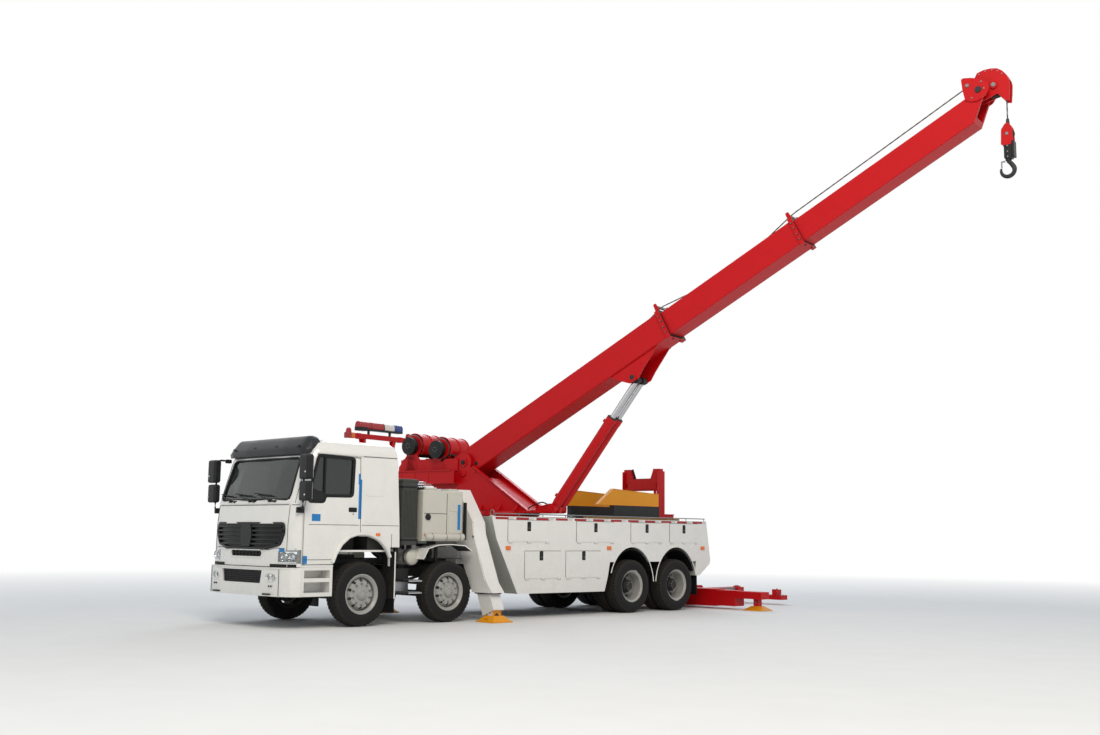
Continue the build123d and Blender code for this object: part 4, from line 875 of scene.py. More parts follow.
def make_front():
    dress("windscreen", "glass")
    dress("grilles", "black")
    maker = Maker()
    # radiator grille: surround and five bars with rounded ends
    ring = [(-0.012, -0.022), (0.018, -0.016), (0.022, 0.0), (0.018, 0.016), (-0.012, 0.022)]
    maker.sweep(round_front(eased(GRILLE, 0.05), 0.004), ring, "black", closed=True)
    bar = [(-0.012, -0.017), (0.020, -0.013), (0.024, 0.0), (0.020, 0.013), (-0.012, 0.017)]
    for k, half in enumerate((0.93, 0.955, 0.945, 0.90, 0.80)):
        maker.sweep(across(-half, half, 1.565 - 0.068 * k, 0.002), bar, "black")
    # middle field is left bare
    hexagon = [(-0.13, 1.60), (-0.17, 1.43), (-0.12, 1.25), (0.12, 1.25), (0.17, 1.43), (0.13, 1.60)]
    maker.prism("y", eased(hexagon, 0.02), -1.452, -1.405, "black", 0.008)
    # lower slot: surround and slats
    maker.sweep(round_front(eased(SLOT, 0.02), 0.002), strip(-0.01, 0.01, 0.01, 0.008), "white", closed=True)
    for k in range(3):
        slat = across(-0.43, 0.43, 1.118 + 0.027 * k, -0.004)
        maker.sweep(slat, strip(-0.01, 0.008, 0.004, 0.003), "black")
    for k in range(9):
        maker.slab(-0.4 + 0.1 * k, 0.004, -1.425, -1.405, 1.095, 1.195, "black", 0.001)
    # bumper opening: slats and fine mesh bars
    for k in range(6):
        maker.box(-0.58, 0.58, -1.478, -1.455, 0.715 + 0.030 * k, 0.725 + 0.030 * k, "black", 0.002)
    for k in range(23):
        maker.slab(-0.555 + 0.05 * k, 0.004, -1.470, -1.452, 0.70, 0.885, "black", 0.001)
    maker.out("front_grille_bars", "chassis", "black_plastic")
    # wipers: two bosses, arm, link and blade each
    maker = Maker()
    for x, reach in ((-0.62, 0.30), (-0.02, 0.30), (0.56, 0.28)):
        root = cab_front(x, 1.965, 0.02)
        for dx, z, proud, r in ((0.0, 1.965, 0.05, 0.022), (0.13, 1.955, 0.035, 0.018)):
            maker.rod(cab_front(x + dx, z, -0.01), cab_front(x + dx, z, proud), r, "black", 12, lip=0.004)
        arm = [root, cab_front(x - 0.20, 2.02, 0.045), cab_front(x - reach - 0.06, 2.055, 0.04)]
        maker.cord(arm, 0.010, "black", sides=6)
        link = [cab_front(x + 0.13, 1.955, 0.03), cab_front(x - 0.05, 2.0, 0.045)]
        maker.cord(link, 0.008, "black", sides=6)
        blade = ((-0.52, 2.090, 0.022), (-0.26, 2.068, 0.024), (0.02, 2.05, 0.022))
        maker.cord([cab_front(x + dx, z, proud) for dx, z, proud in blade], 0.009, "seal", sides=6)
        maker.box(x - 0.03, x + 0.16, root[1] - 0.002, root[1] + 0.02, 1.945, 1.975, "black")
    maker.out("wipers", "chassis", "black_plastic")


BUMPER_LAMPS = (0.760, 0.870)
BUMPER_LAMP_Z = 0.790


def make_bumper():
    dress("bumper", "white", [("black", lambda c, n: c.y > -1.43 and abs(c.x) < 0.9 and n.y > 0.5)])
    maker = Maker()

    def side():
        # oval lamp recess, its lamp rings and screws
        oval = [(0.815 + 0.115 * c * (1 + 0.12 * abs(c)), BUMPER_LAMP_Z + 0.066 * s) for c, s in spokes(28)]
        path = [(x, -1.500 + max(0.0, x - 0.6) * 0.125 - 0.003, z) for x, z in oval]
        maker.cord(path, 0.007, "white", closed=True)
        for x in BUMPER_LAMPS:
            y = -1.472 + (x - 0.76) * 0.1
            ring = ((-0.004, 0.034), (-0.012, 0.040), (-0.012, 0.046), (0.006, 0.048), (0.006, 0.034))
            maker.lathe([(y + dy, r) for dy, r in ring], "chrome", 28, (x, 0, BUMPER_LAMP_Z), "y")
        for x in (0.785, 0.845):
            maker.pin("y", x, 0.655, -1.49, -1.478, 0.014, "black", 12)
        # joint line, upper lip, and painted shade: a black strip in the gap below the headlamp and a black
        # box in the slot of the step
        maker.cord([(1.003, -1.452, z) for z in (0.51, 0.70, 0.935)], 0.004, "seal", up=(0, 1, 0))
        corner = ((0.62, -1.500), (0.99, -1.455), (1.17, -1.357), (1.218, -1.262))
        maker.sweep([(x, y, 0.925) for x, y in corner],
                    [(-0.01, -0.014), (0.006, -0.012), (0.010, 0.012), (-0.01, 0.014)], "white")
        gap = on_front([(x, 0.968) for x in (0.68, 0.8, 0.95, 1.05, 1.10, 1.15, 1.20)], 0.002)
        maker.sweep(gap, strip(-0.02, 0.004, 0.024, 0.022), "seal")
        maker.box(0.63, 0.86, -1.503, -1.497, 0.52, 0.545, "seal", 0.001)
    both_sides(maker, side)
    maker.sweep([(-0.60, -1.501, 0.925), (0.60, -1.501, 0.925)],
                [(-0.01, -0.012), (0.006, -0.010), (0.008, 0.010), (-0.01, 0.012)], "white")
    # tow pin cover
    maker.plate("y", -0.30, 0.30, 0.545, 0.635, 0.02, -1.5035, -1.49, "white", 0.003)
    maker.out("bumper_fittings", "chassis", "white_paint")


def make_lamps():
    dress("lamps", "clear")
    maker = Maker()

    def side():
        # round headlamps: bowl and bulb
        for x, z, r in ((0.955, 1.105, 0.068), (1.105, 1.100, 0.062)):
            y = cab_front(x, z)[1]
            bowl = ((0.052, 0.0), (0.050, r * 0.4), (0.040, r * 0.72), (0.020, r * 0.95), (0.008, r),
                    (0.008, r + 0.008), (0.056, r + 0.008), (0.058, 0.0))
            maker.lathe([(y + back, wide) for back, wide in bowl], "chrome", 36, (x, 0, z), "y")
            bulb = ((0.042, 0.0), (0.042, 0.012), (0.022, 0.012), (0.018, 0.0))
            maker.lathe([(y + back, wide) for back, wide in bulb], "opal", 16, (x, 0, z), "y")
        for x in BUMPER_LAMPS:
            maker.lathe([(-1.435, 0.0), (-1.440, 0.030), (-1.458, 0.042), (-1.458, 0.046), (-1.425, 0.046),
                         (-1.425, 0.0)], "chrome", 28, (x, 0, BUMPER_LAMP_Z), "y")
        # bright piece between the round lamps and trim below them
        inset = eased([(1.02, 1.155), (1.07, 1.155), (1.07, 1.045), (1.02, 1.045)], 0.01)
        maker.prism("y", inset, -1.335, -1.320, "chrome", 0.003)
        trim = on_front([(x, 1.018) for x in (0.87, 1.0, 1.08, 1.15, 1.20)], 0.001)
        maker.sweep(trim, strip(-0.006, 0.003, 0.008), "chrome")
    both_sides(maker, side)
    # left-over tape over the left lamp
    over = on_front([(x, 1.205) for x in (0.88, 0.95, 1.0)], 0.002)
    maker.sweep(over, strip(-0.001, 0.001, 0.03), "tape_blue")
    maker.out("lamp_bowls", "chassis", "lamp_lens")


VISOR_HALF = 1.155
VISOR_Y = -1.097
VISOR_Z = 2.75


def make_visor_and_mirrors():
    maker = Maker()
    profile = [(0.050, -0.052), (0.070, -0.048), (0.084, 0.025), (0.070, 0.075), (0.000, 0.172),
               (-0.050, 0.215), (-0.107, 0.240), (-0.200, 0.246), (-0.297, 0.236), (-0.352, 0.196),
               (-0.340, 0.180), (-0.200, 0.190), (-0.097, 0.130), (-0.017, 0.040), (0.030, -0.030)]
    stops = [-VISOR_HALF + 2 * VISOR_HALF * i / 44 for i in range(45)]
    points = []
    for x in stops:
        t = abs(x) / VISOR_HALF
        drop = max(0.0, (t - 0.86) / 0.14)
        squeeze = math.sqrt(max(0.03, 1 - drop ** 2))
        # the hood follows the cab's bend less than the glass does
        y0 = VISOR_Y + (cab_front(x, VISOR_Z)[1] - VISOR_Y) * 0.75
        # the hood is deeper over the middle than at its ends
        reach = min(squeeze, 1.0 - 0.5 * max(0.0, (t - 0.55) / 0.45) ** 1.5)
        for u, v in profile:
            points.append((x, y0 - (u if u > 0 else u * reach), VISOR_Z + (v * squeeze if v > 0 else v)))
    maker.skin(points, len(profile), len(stops), "visor")
    for x in (-0.62, 0.62):
        maker.slab(x, 0.02, -1.15, -1.06, 2.715, 2.76, "black")
    # roof marker lamps in the visor
    marker = eased([(-1.172, 2.815), (-1.150, 2.815), (-1.150, 2.845), (-1.166, 2.850)], 0.004)
    for x in (-0.95, -0.32, 0.32, 0.95):
        maker.prism("x", marker, x - 0.035, x + 0.035, "visor")
    # dark header between the screen and the hood
    maker.sweep(across(-1.075, 1.075, 2.69, 0.0, 20),
                [(-0.006, -0.052), (0.006, -0.052), (0.006, 0.060), (-0.006, 0.060)], "black")
    maker.out("sun_visor", "chassis", "dark_grey_plastic", ("cab_trim",), 0.9)
    maker = Maker()

    def mirror():
        # main and wide-angle heads with their glass
        maker.box(1.262, 1.503, -1.338, -1.212, 2.288, 2.672, "black", 0.045, 4)
        maker.box(1.262, 1.492, -1.328, -1.212, 1.958, 2.262, "black", 0.042, 4)
        maker.box(1.285, 1.480, -1.216, -1.208, 2.315, 2.645, "chrome", 0.02, 3)
        maker.box(1.285, 1.470, -1.216, -1.208, 1.985, 2.235, "chrome", 0.02, 3)
        # arm: two brackets and a bent tube
        arm = [(1.312, -1.27, z) for z in (1.87, 1.95, 2.30, 2.60)]
        maker.cord([(1.215, -1.262, 1.83), (1.27, -1.27, 1.835)] + arm
                   + [(1.30, -1.26, 2.655), (1.25, -1.23, 2.665), (1.205, -1.10, 2.66)], 0.016, "black")
        maker.plate("x", -1.32, -1.19, 1.775, 1.865, 0.02, 1.205, 1.245, "black", 0.006)
        maker.plate("x", -1.16, -1.06, 2.62, 2.685, 0.02, 1.195, 1.245, "black", 0.006)
        # bright buttons on the fronts of the heads
        button = [(-1.345, 0.0), (-1.345, 0.010), (-1.338, 0.016), (-1.332, 0.016), (-1.332, 0.0)]
        for z in (2.40, 2.05):
            maker.lathe(button, "chrome", 16, (1.445, 0, z), "y")
    both_sides(maker, mirror)
    maker.out("door_mirrors", "chassis", "black_plastic", ("cab_trim",))


def make_interior():
    """Plain steering wheel and lining, seen through the glass."""
    dress("cab_interior", "trim")
    maker = Maker()
    hub = (0.56, -0.62, 1.93)
    rim = [(0.56 + 0.21 * c, -0.62 + 0.10 * s, 1.93 + 0.18 * s) for c, s in spokes(32)]
    maker.cord(rim, 0.015, "black", closed=True)
    maker.rod(hub, (0.56, -0.72, 1.72), 0.025, "black", 12)
    for c, s in spokes(3, 30):
        maker.rod(hub, (0.56 + 0.20 * c, -0.62 + 0.10 * s, 1.93 + 0.18 * s), 0.012, "black", 8)
    maker.out("steering_wheel", "chassis", "interior")


# BEHIND THE CAB
TANK = (0, 1.130, 1.090)


def make_steps_and_guards():
    # the air reservoir takes the cabinet's grey-white: painted shade
    dress("cab_steps", "white", [
        ("alloy", lambda c, n: 0.9 < c.y < 1.3 and abs(c.x) > 0.79 and c.z < 0.72),
        ("cabinet", lambda c, n: 0.95 < c.y < 1.225 and 0.94 < c.z < 1.23 and abs(c.x) > 0.5),
        ("chassis", lambda c, n: abs(c.x) < 0.90),
        ("chassis", lambda c, n: c.y > 1.1 and n.z < -0.1 and c.z > 1.0)])
    maker = Maker()

    def side():
        # step treads with raised studs
        for z in (0.722, 0.557):
            maker.box(1.02, 1.236, -1.14, -0.69, z, z + 0.006, "alloy", 0.002)
            for k in range(7):
                for x in (1.07, 1.13, 1.19):
                    maker.pin("z", x, -1.09 + 0.06 * k, z + 0.004, z + 0.012, 0.009, "alloy", 8)
        # rubber mudflap behind the first wheel
        flap = [(0.905, 0.20), (1.235, 0.20), (1.235, 0.50), (0.905, 0.50)]
        maker.prism("y", flap, 0.583, 0.593, "seal", 0.002)
        # steps behind the cab: perforated treads and side brackets
        for z in (0.710, 0.515):
            for k in range(6):
                maker.box(0.83 + 0.055 * k, 0.86 + 0.055 * k, 0.95, 1.20, z, z + 0.010, "steel", 0.002)
        maker.box(0.79, 1.18, 0.925, 0.933, 0.685, 0.725, "steel", 0.002)
        maker.box(0.79, 1.18, 0.925, 0.933, 0.490, 0.530, "steel", 0.002)
        # air reservoir: domed end in the cabinet's grey-white, which is painted shade, and straps
        end = [(1.0, 0.0), (1.0, 0.126), (1.014, 0.118), (1.030, 0.088), (1.040, 0.045), (1.043, 0.0)]
        maker.lathe(end, "cabinet", 40, TANK)
        for x in (0.62, 0.90):
            maker.lathe([(x, 0.1315), (x + 0.04, 0.1315), (x + 0.04, 0.137), (x, 0.137)], "steel", 40, TANK)
        # battery box with its lid and straps below the guard
        maker.box(0.46, 0.80, 0.66, 0.88, 0.62, 0.94, "black", 0.012, 3)
        maker.box(0.455, 0.806, 0.655, 0.886, 0.94, 0.965, "black", 0.010, 3)
        for z in (0.70, 0.86):
            maker.sweep([(0.81, 0.66, z), (0.81, 0.88, z)], strip(-0.004, 0.004, 0.012), "steel")
    both_sides(maker, side)
    maker.out("step_fittings", "chassis", "white_paint")


DOME = (0.88, 1.21)


def make_cabinet():
    def outer_edge(a, b):
        return max(abs(abs(a.x) - 1.15), abs(abs(b.x) - 1.15)) < 0.002 and a.z > 1.5 and b.z > 1.3
    # the cabinet's grey-white is white enamel with painted shade
    dress("tank_cabinet", "cabinet", [("chassis", lambda c, n: c.z < 1.36)], rounded=(outer_edge, 0.03, 3))
    maker = Maker()

    def side():
        # doors and pressed panels on the outer face
        maker.plate("x", 1.78, 2.07, 1.86, 2.17, 0.05, 1.148, 1.158, "cabinet", 0.006, 3)
        maker.plate("x", 1.78, 2.07, 1.49, 1.80, 0.03, 1.148, 1.156, "cabinet", 0.005, 3)
        maker.cord([(1.151, 1.735, 1.38), (1.151, 1.735, 2.16)], 0.004, "seal", up=(0, 1, 0))
        maker.cord([(1.151, 1.21, 1.475), (1.151, 2.09, 1.475)], 0.004, "seal")
        maker.cord([(1.151, 1.24, 1.82), (1.151, 1.73, 1.82)], 0.004, "seal")
        maker.box(1.146, 1.162, 1.205, 1.235, 1.40, 2.19, "cabinet", 0.006)
        maker.box(1.146, 1.160, 1.24, 1.70, 1.445, 1.462, "amber", 0.003)
        maker.lathe([(1.150, 0.0), (1.150, 0.055), (1.172, 0.052), (1.180, 0.030), (1.180, 0.0)],
                    "black", 24, (0, 1.32, 1.76))
        # rounded ledge with its straps and end post
        maker.cord([(1.16, 1.28, 1.43), (1.16, 2.08, 1.43)], 0.058, "cabinet", sides=20)
        for y in (1.40, 1.70, 2.0):
            strap = [(1.16 + 0.061 * c, y, 1.43 + 0.061 * s) for c, s in spokes(9, -80, 20)]
            maker.cord(strap, 0.006, "steel", sides=6, up=(0, 1, 0))
        maker.box(1.14, 1.21, 2.105, 2.135, 1.38, 2.02, "black", 0.008)
        # top: filler neck and two lids
        maker.lathe([(2.212, 0.0), (2.212, 0.085), (2.235, 0.085), (2.245, 0.060), (2.245, 0.0)],
                    "steel", 28, (0.86, 1.75, 0), "z")
        maker.box(0.35, 1.10, 1.30, 1.55, 2.213, 2.262, "cabinet", 0.015, 3)
        maker.box(0.52, 1.05, 1.86, 2.05, 2.213, 2.250, "cabinet", 0.012, 3)
    both_sides(maker, side)
    # left face: masking tape by the leg housing
    maker.box(1.1582, 1.1602, 1.97, 2.03, 1.55, 1.98, "tape_blue", 0)
    # guard ring round the top dome
    x, y = DOME
    for z, r in ((2.262, 0.200), (2.345, 0.200), (2.30, 0.202)):
        maker.cord([(x + r * c, y + r * s, z) for c, s in spokes(24)], 0.008, "chrome", closed=True)
    for c, s in spokes(8):
        maker.pin("z", x + 0.200 * c, y + 0.200 * s, 2.25, 2.35, 0.007, "chrome", 8)
    maker.box(0.70, 1.06, 1.03, 1.38, 2.236, 2.262, "black", 0.010, 3)
    dome = [(2.258, 0.0), (2.258, 0.175), (2.30, 0.168), (2.325, 0.110), (2.332, 0.0)]
    maker.lathe(dome, "seal", 32, (x, y, 0), "z")
    maker.out("cabinet_fittings", "chassis", "grey_paint")
    # air cleaner: ribs, cap, bands, duct to the engine with its bellows
    dress("air_cleaner", "cleaner", rounded=(lambda a, b: abs(a.z - b.z) > 0.5, 0.03, 3))
    maker = Maker()
    for k in range(11):
        y = 0.822 + 0.028 * k
        maker.box(1.112, 1.128, y, y + 0.012, 1.42, 2.20, "cleaner", 0.003)
    for k in range(12):
        x = 0.785 + 0.028 * k
        maker.box(x, x + 0.012, 0.792, 0.806, 1.42, 2.20, "cleaner", 0.003)
    maker.box(0.75, 1.13, 0.79, 1.14, 2.325, 2.385, "cleaner", 0.03, 3)
    maker.box(0.755, 1.128, 0.795, 1.135, 2.235, 2.262, "seal")
    maker.box(0.755, 1.128, 0.795, 1.135, 1.36, 1.385, "seal")
    duct = [(0.76, 0.97, 1.55), (0.62, 0.97, 1.50), (0.50, 0.90, 1.30), (0.46, 0.75, 1.12)]
    maker.cord(duct, 0.085, "seal", sides=20)
    for t in [k / 8 for k in range(9)]:
        fold = [(0.60 + 0.01 * math.cos(a) - 0.1 * t, 0.965 - 0.07 * t, 1.49 - 0.18 * t) for a in (0, 1)]
        maker.cord(fold, 0.02, "seal")
    maker.out("air_cleaner_ribs", "chassis", "black_plastic")


# RECOVERY BODY
# rows of locker flaps: name, hinge height, top, ends of the flaps, places of the latches
FLAP_ROWS = (
    ("upper", 1.346, 1.740, ((3.080, 4.110), (4.830, 5.870), (6.360, 7.300), (7.540, 8.430)),
     ((3.589, 1.63), (5.346, 1.63), (6.829, 1.63), (7.983, 1.63))),
    ("lower", 0.690, 1.190, ((3.500, 4.420), (4.550, 5.490)), ((3.906, 1.107), (5.019, 1.107))),
)
FLAP_FACE = 1.2503
BODY_SIDE = 1.238
DECK = 1.800


def latch(maker, y, z):
    """Recessed paddle latch with its lock."""
    x = FLAP_FACE
    maker.plate("x", y - 0.045, y + 0.045, z - 0.085, z + 0.085, 0.015, x - 0.002, x + 0.004, "black", 0.002)
    maker.plate("x", y - 0.030, y + 0.030, z - 0.060, z + 0.055, 0.010, x + 0.002, x + 0.010, "black", 0.003)
    maker.pin("x", y, z - 0.03, x + 0.008, x + 0.013, 0.010, "steel", 12)


def make_body():
    def under(c, n):
        inside = 0.66 < abs(c.x) < 1.236 and 0.46 < c.z < 1.78 and 2.88 < c.y < 8.70
        return inside and not (abs(n.x) > 0.99 and abs(c.x) > 1.2)
    # painted shade: the body's forward faces near the cab and its inner faces below the deck take the grey,
    # not the white
    dress("recovery_body", "white", [
        ("plate", lambda c, n: n.z > 0.9 and 1.79 < c.z < 1.81),
        ("steel", lambda c, n: c.z > 1.805),
        ("grey", lambda c, n: n.y < -0.5 and c.y < 3.6),
        ("grey", under),
        ("chassis", lambda c, n: abs(c.x) < 0.66 or n.z < -0.9)])
    for row, hinge, top, flaps, places in FLAP_ROWS:
        for side, where in SIDES:
            # the flaps' inner faces take the grey: painted shade on the white flaps
            dress(row + "_flaps_" + side, "white", [("grey", lambda c, n: n.x < -0.5)], where)
            maker = Maker(where)
            for y, z in places:
                latch(maker, y, z)
            for y0, y1 in flaps:
                # rubber bead round the flap, folded edge at its top
                y2, y3, z2, z3 = y0 - 0.004, y1 + 0.004, hinge + 0.02, top + 0.004
                bead = [(1.2385, y, z) for y, z in ((y2, z2), (y2, z3), (y3, z3), (y3, z2))]
                maker.cord(bead, 0.0035, "seal", up=(1, 0, 0))
                maker.sweep([(FLAP_FACE, y, top - 0.003) for y in (y0 + 0.006, y1 - 0.006)],
                            [(-0.003, -0.006), (0.004, -0.004), (0.004, 0.004), (-0.003, 0.004)], "white")
            maker.out(row + "_latches_" + side, row + "_flaps_" + side, "white_paint")
    maker = Maker()

    def side():
        # reflective strip below the deck edge: red and white lengths
        for k in range(12):
            y = 2.78 + 0.5 * k
            maker.box(1.2375, 1.2392, y, y + 0.31, 1.748, 1.790, "tape_red", 0)
            maker.box(1.2375, 1.2392, y + 0.31, y + 0.43, 1.748, 1.790, "tape_white", 0)
        # side markers
        for y in (3.087, 5.729, 8.600):
            maker.plate("x", y - 0.055, y + 0.055, 1.210, 1.280, 0.010, 1.237, 1.256, "amber", 0.006, 3)
        # folded lips: deck edge, lower edge, arches
        maker.sweep([(BODY_SIDE, 2.70, 1.797), (BODY_SIDE, 8.73, 1.797)],
                    [(-0.004, -0.008), (0.006, -0.006), (0.006, 0.004), (-0.004, 0.006)], "white")
        maker.sweep([(BODY_SIDE, 3.335, 0.441), (BODY_SIDE, 5.60, 0.434)],
                    [(-0.004, -0.004), (0.006, -0.004), (0.006, 0.010), (-0.004, 0.010)], "white")
        for y, y0, y1 in ((6.4, 5.775, 7.07), (7.75, 7.08, 8.37)):
            arc = [(BODY_SIDE, y + 0.645 * c, TYRE_R + 0.760 * s) for c, s in spokes(25, 6, 7)]
            maker.cord([p for p in arc if y0 < p[1] < y1], 0.010, "white", up=(1, 0, 0))
            # inner guard over the tyres
            guard = [(0.95, y + 0.60 * c, TYRE_R + 0.05 + 0.655 * s) for c, s in spokes(15, 20, 10)]
            wide = [(-0.003, -0.28), (0.003, -0.28), (0.003, 0.27), (-0.003, 0.27)]
            maker.sweep(guard, wide, "seal", up=(1, 0, 0))
        # lifting eye at the front corner
        ring = [(1.15 + 0.045 * c, 2.775, 1.862 + 0.052 * s) for c, s in spokes(18)]
        maker.cord(ring, 0.010, "steel", closed=True, up=(0, 1, 0))
        maker.box(1.11, 1.19, 2.755, 2.795, 1.798, 1.818, "white")
        # tail lamps, left bare of a plate
        maker.box(0.86, 1.20, 8.73, 8.765, 1.30, 1.42, "black", 0.008)
        for k, tint in enumerate(("ruby", "amber", "clear")):
            x = 0.108 * k
            maker.plate("y", 0.875 + x, 0.972 + x, 1.315, 1.405, 0.012, 8.762, 8.780, tint, 0.005, 3)
        # mudflap behind the last wheel
        flap = [(0.66, 0.30), (1.22, 0.30), (1.22, 0.86), (0.66, 0.86)]
        maker.prism("y", flap, 8.425, 8.437, "seal", 0.002)
        maker.box(0.64, 1.22, 8.43, 8.47, 0.84, 0.90, "chassis")
    both_sides(maker, side)
    # plank on the left deck edge, hatch with two grab bars
    maker.box(0.96, 1.16, 5.30, 7.95, DECK, 1.838, "pine")
    maker.box(-0.55, 0.55, 5.30, 6.30, 1.801, 1.812, "plate", 0.003)
    for x in (-0.50, 0.50):
        maker.cord([(x, 5.35, 1.825), (x, 5.45, 1.845), (x, 5.55, 1.825)], 0.008, "steel", up=(1, 0, 0))
    maker.out("body_fittings", "chassis", "white_paint")


def make_cradle():
    dress("boom_cradle", "red")
    dress("deck_skid", "yellow", [("chassis", lambda c, n: c.z < 2.09 and n.z < 0.9)])
    maker = Maker()
    for sx in (-1, 1):
        # rubber saddle pads, stiffeners, feet with bolts
        maker.sweep([(sx * 0.335, 8.15, 2.895), (sx * 0.252, 8.15, 2.690)],
                    [(-0.05, -0.004), (0.05, -0.004), (0.05, 0.008), (-0.05, 0.008)], "seal", up=(0, 1, 0))
        maker.slab(sx * 0.485, 0.012, 8.03, 8.27, 1.81, 2.85, "red")
        maker.slab(sx * 0.455, 0.07, 7.93, 8.38, DECK, 1.816, "red", 0.003)
        for y in (7.97, 8.34):
            for x in (0.42, 0.49):
                maker.pin("z", sx * x, y, 1.814, 1.832, 0.016, "steel", 6)
        # ramp: folded flange, braces to the box below
        maker.sweep([(sx * 0.6, 6.06, 2.098), (sx * 0.6, 6.50, 2.416), (sx * 0.6, 7.90, 2.346)],
                    [(-0.046, -0.005), (0.046, -0.005), (0.046, 0.006), (-0.046, 0.006)], "yellow")
        for y in (6.7, 7.1, 7.5, 7.85):
            maker.slab(sx * 0.6, 0.062, y - 0.01, y + 0.01, 1.81, 2.088, "chassis", 0.003)
    maker.box(-0.25, 0.25, 8.095, 8.205, 2.690, 2.700, "seal", 0.003)
    maker.box(-0.50, 0.50, 8.075, 8.09, 2.46, 2.50, "red")
    # red chest beside the cradle foot
    maker.box(-0.42, 0.42, 8.36, 8.66, 1.801, 1.935, "red", 0.012, 3)
    maker.box(-0.43, 0.43, 8.35, 8.67, 1.930, 1.950, "red", 0.006)
    maker.out("cradle_fittings", "chassis", "red_paint")


# SUPERSTRUCTURE
# columns: y, z of the drum axles in the slewing frame
WINCHES = ((-1.444, 3.121), (-2.155, 3.212))


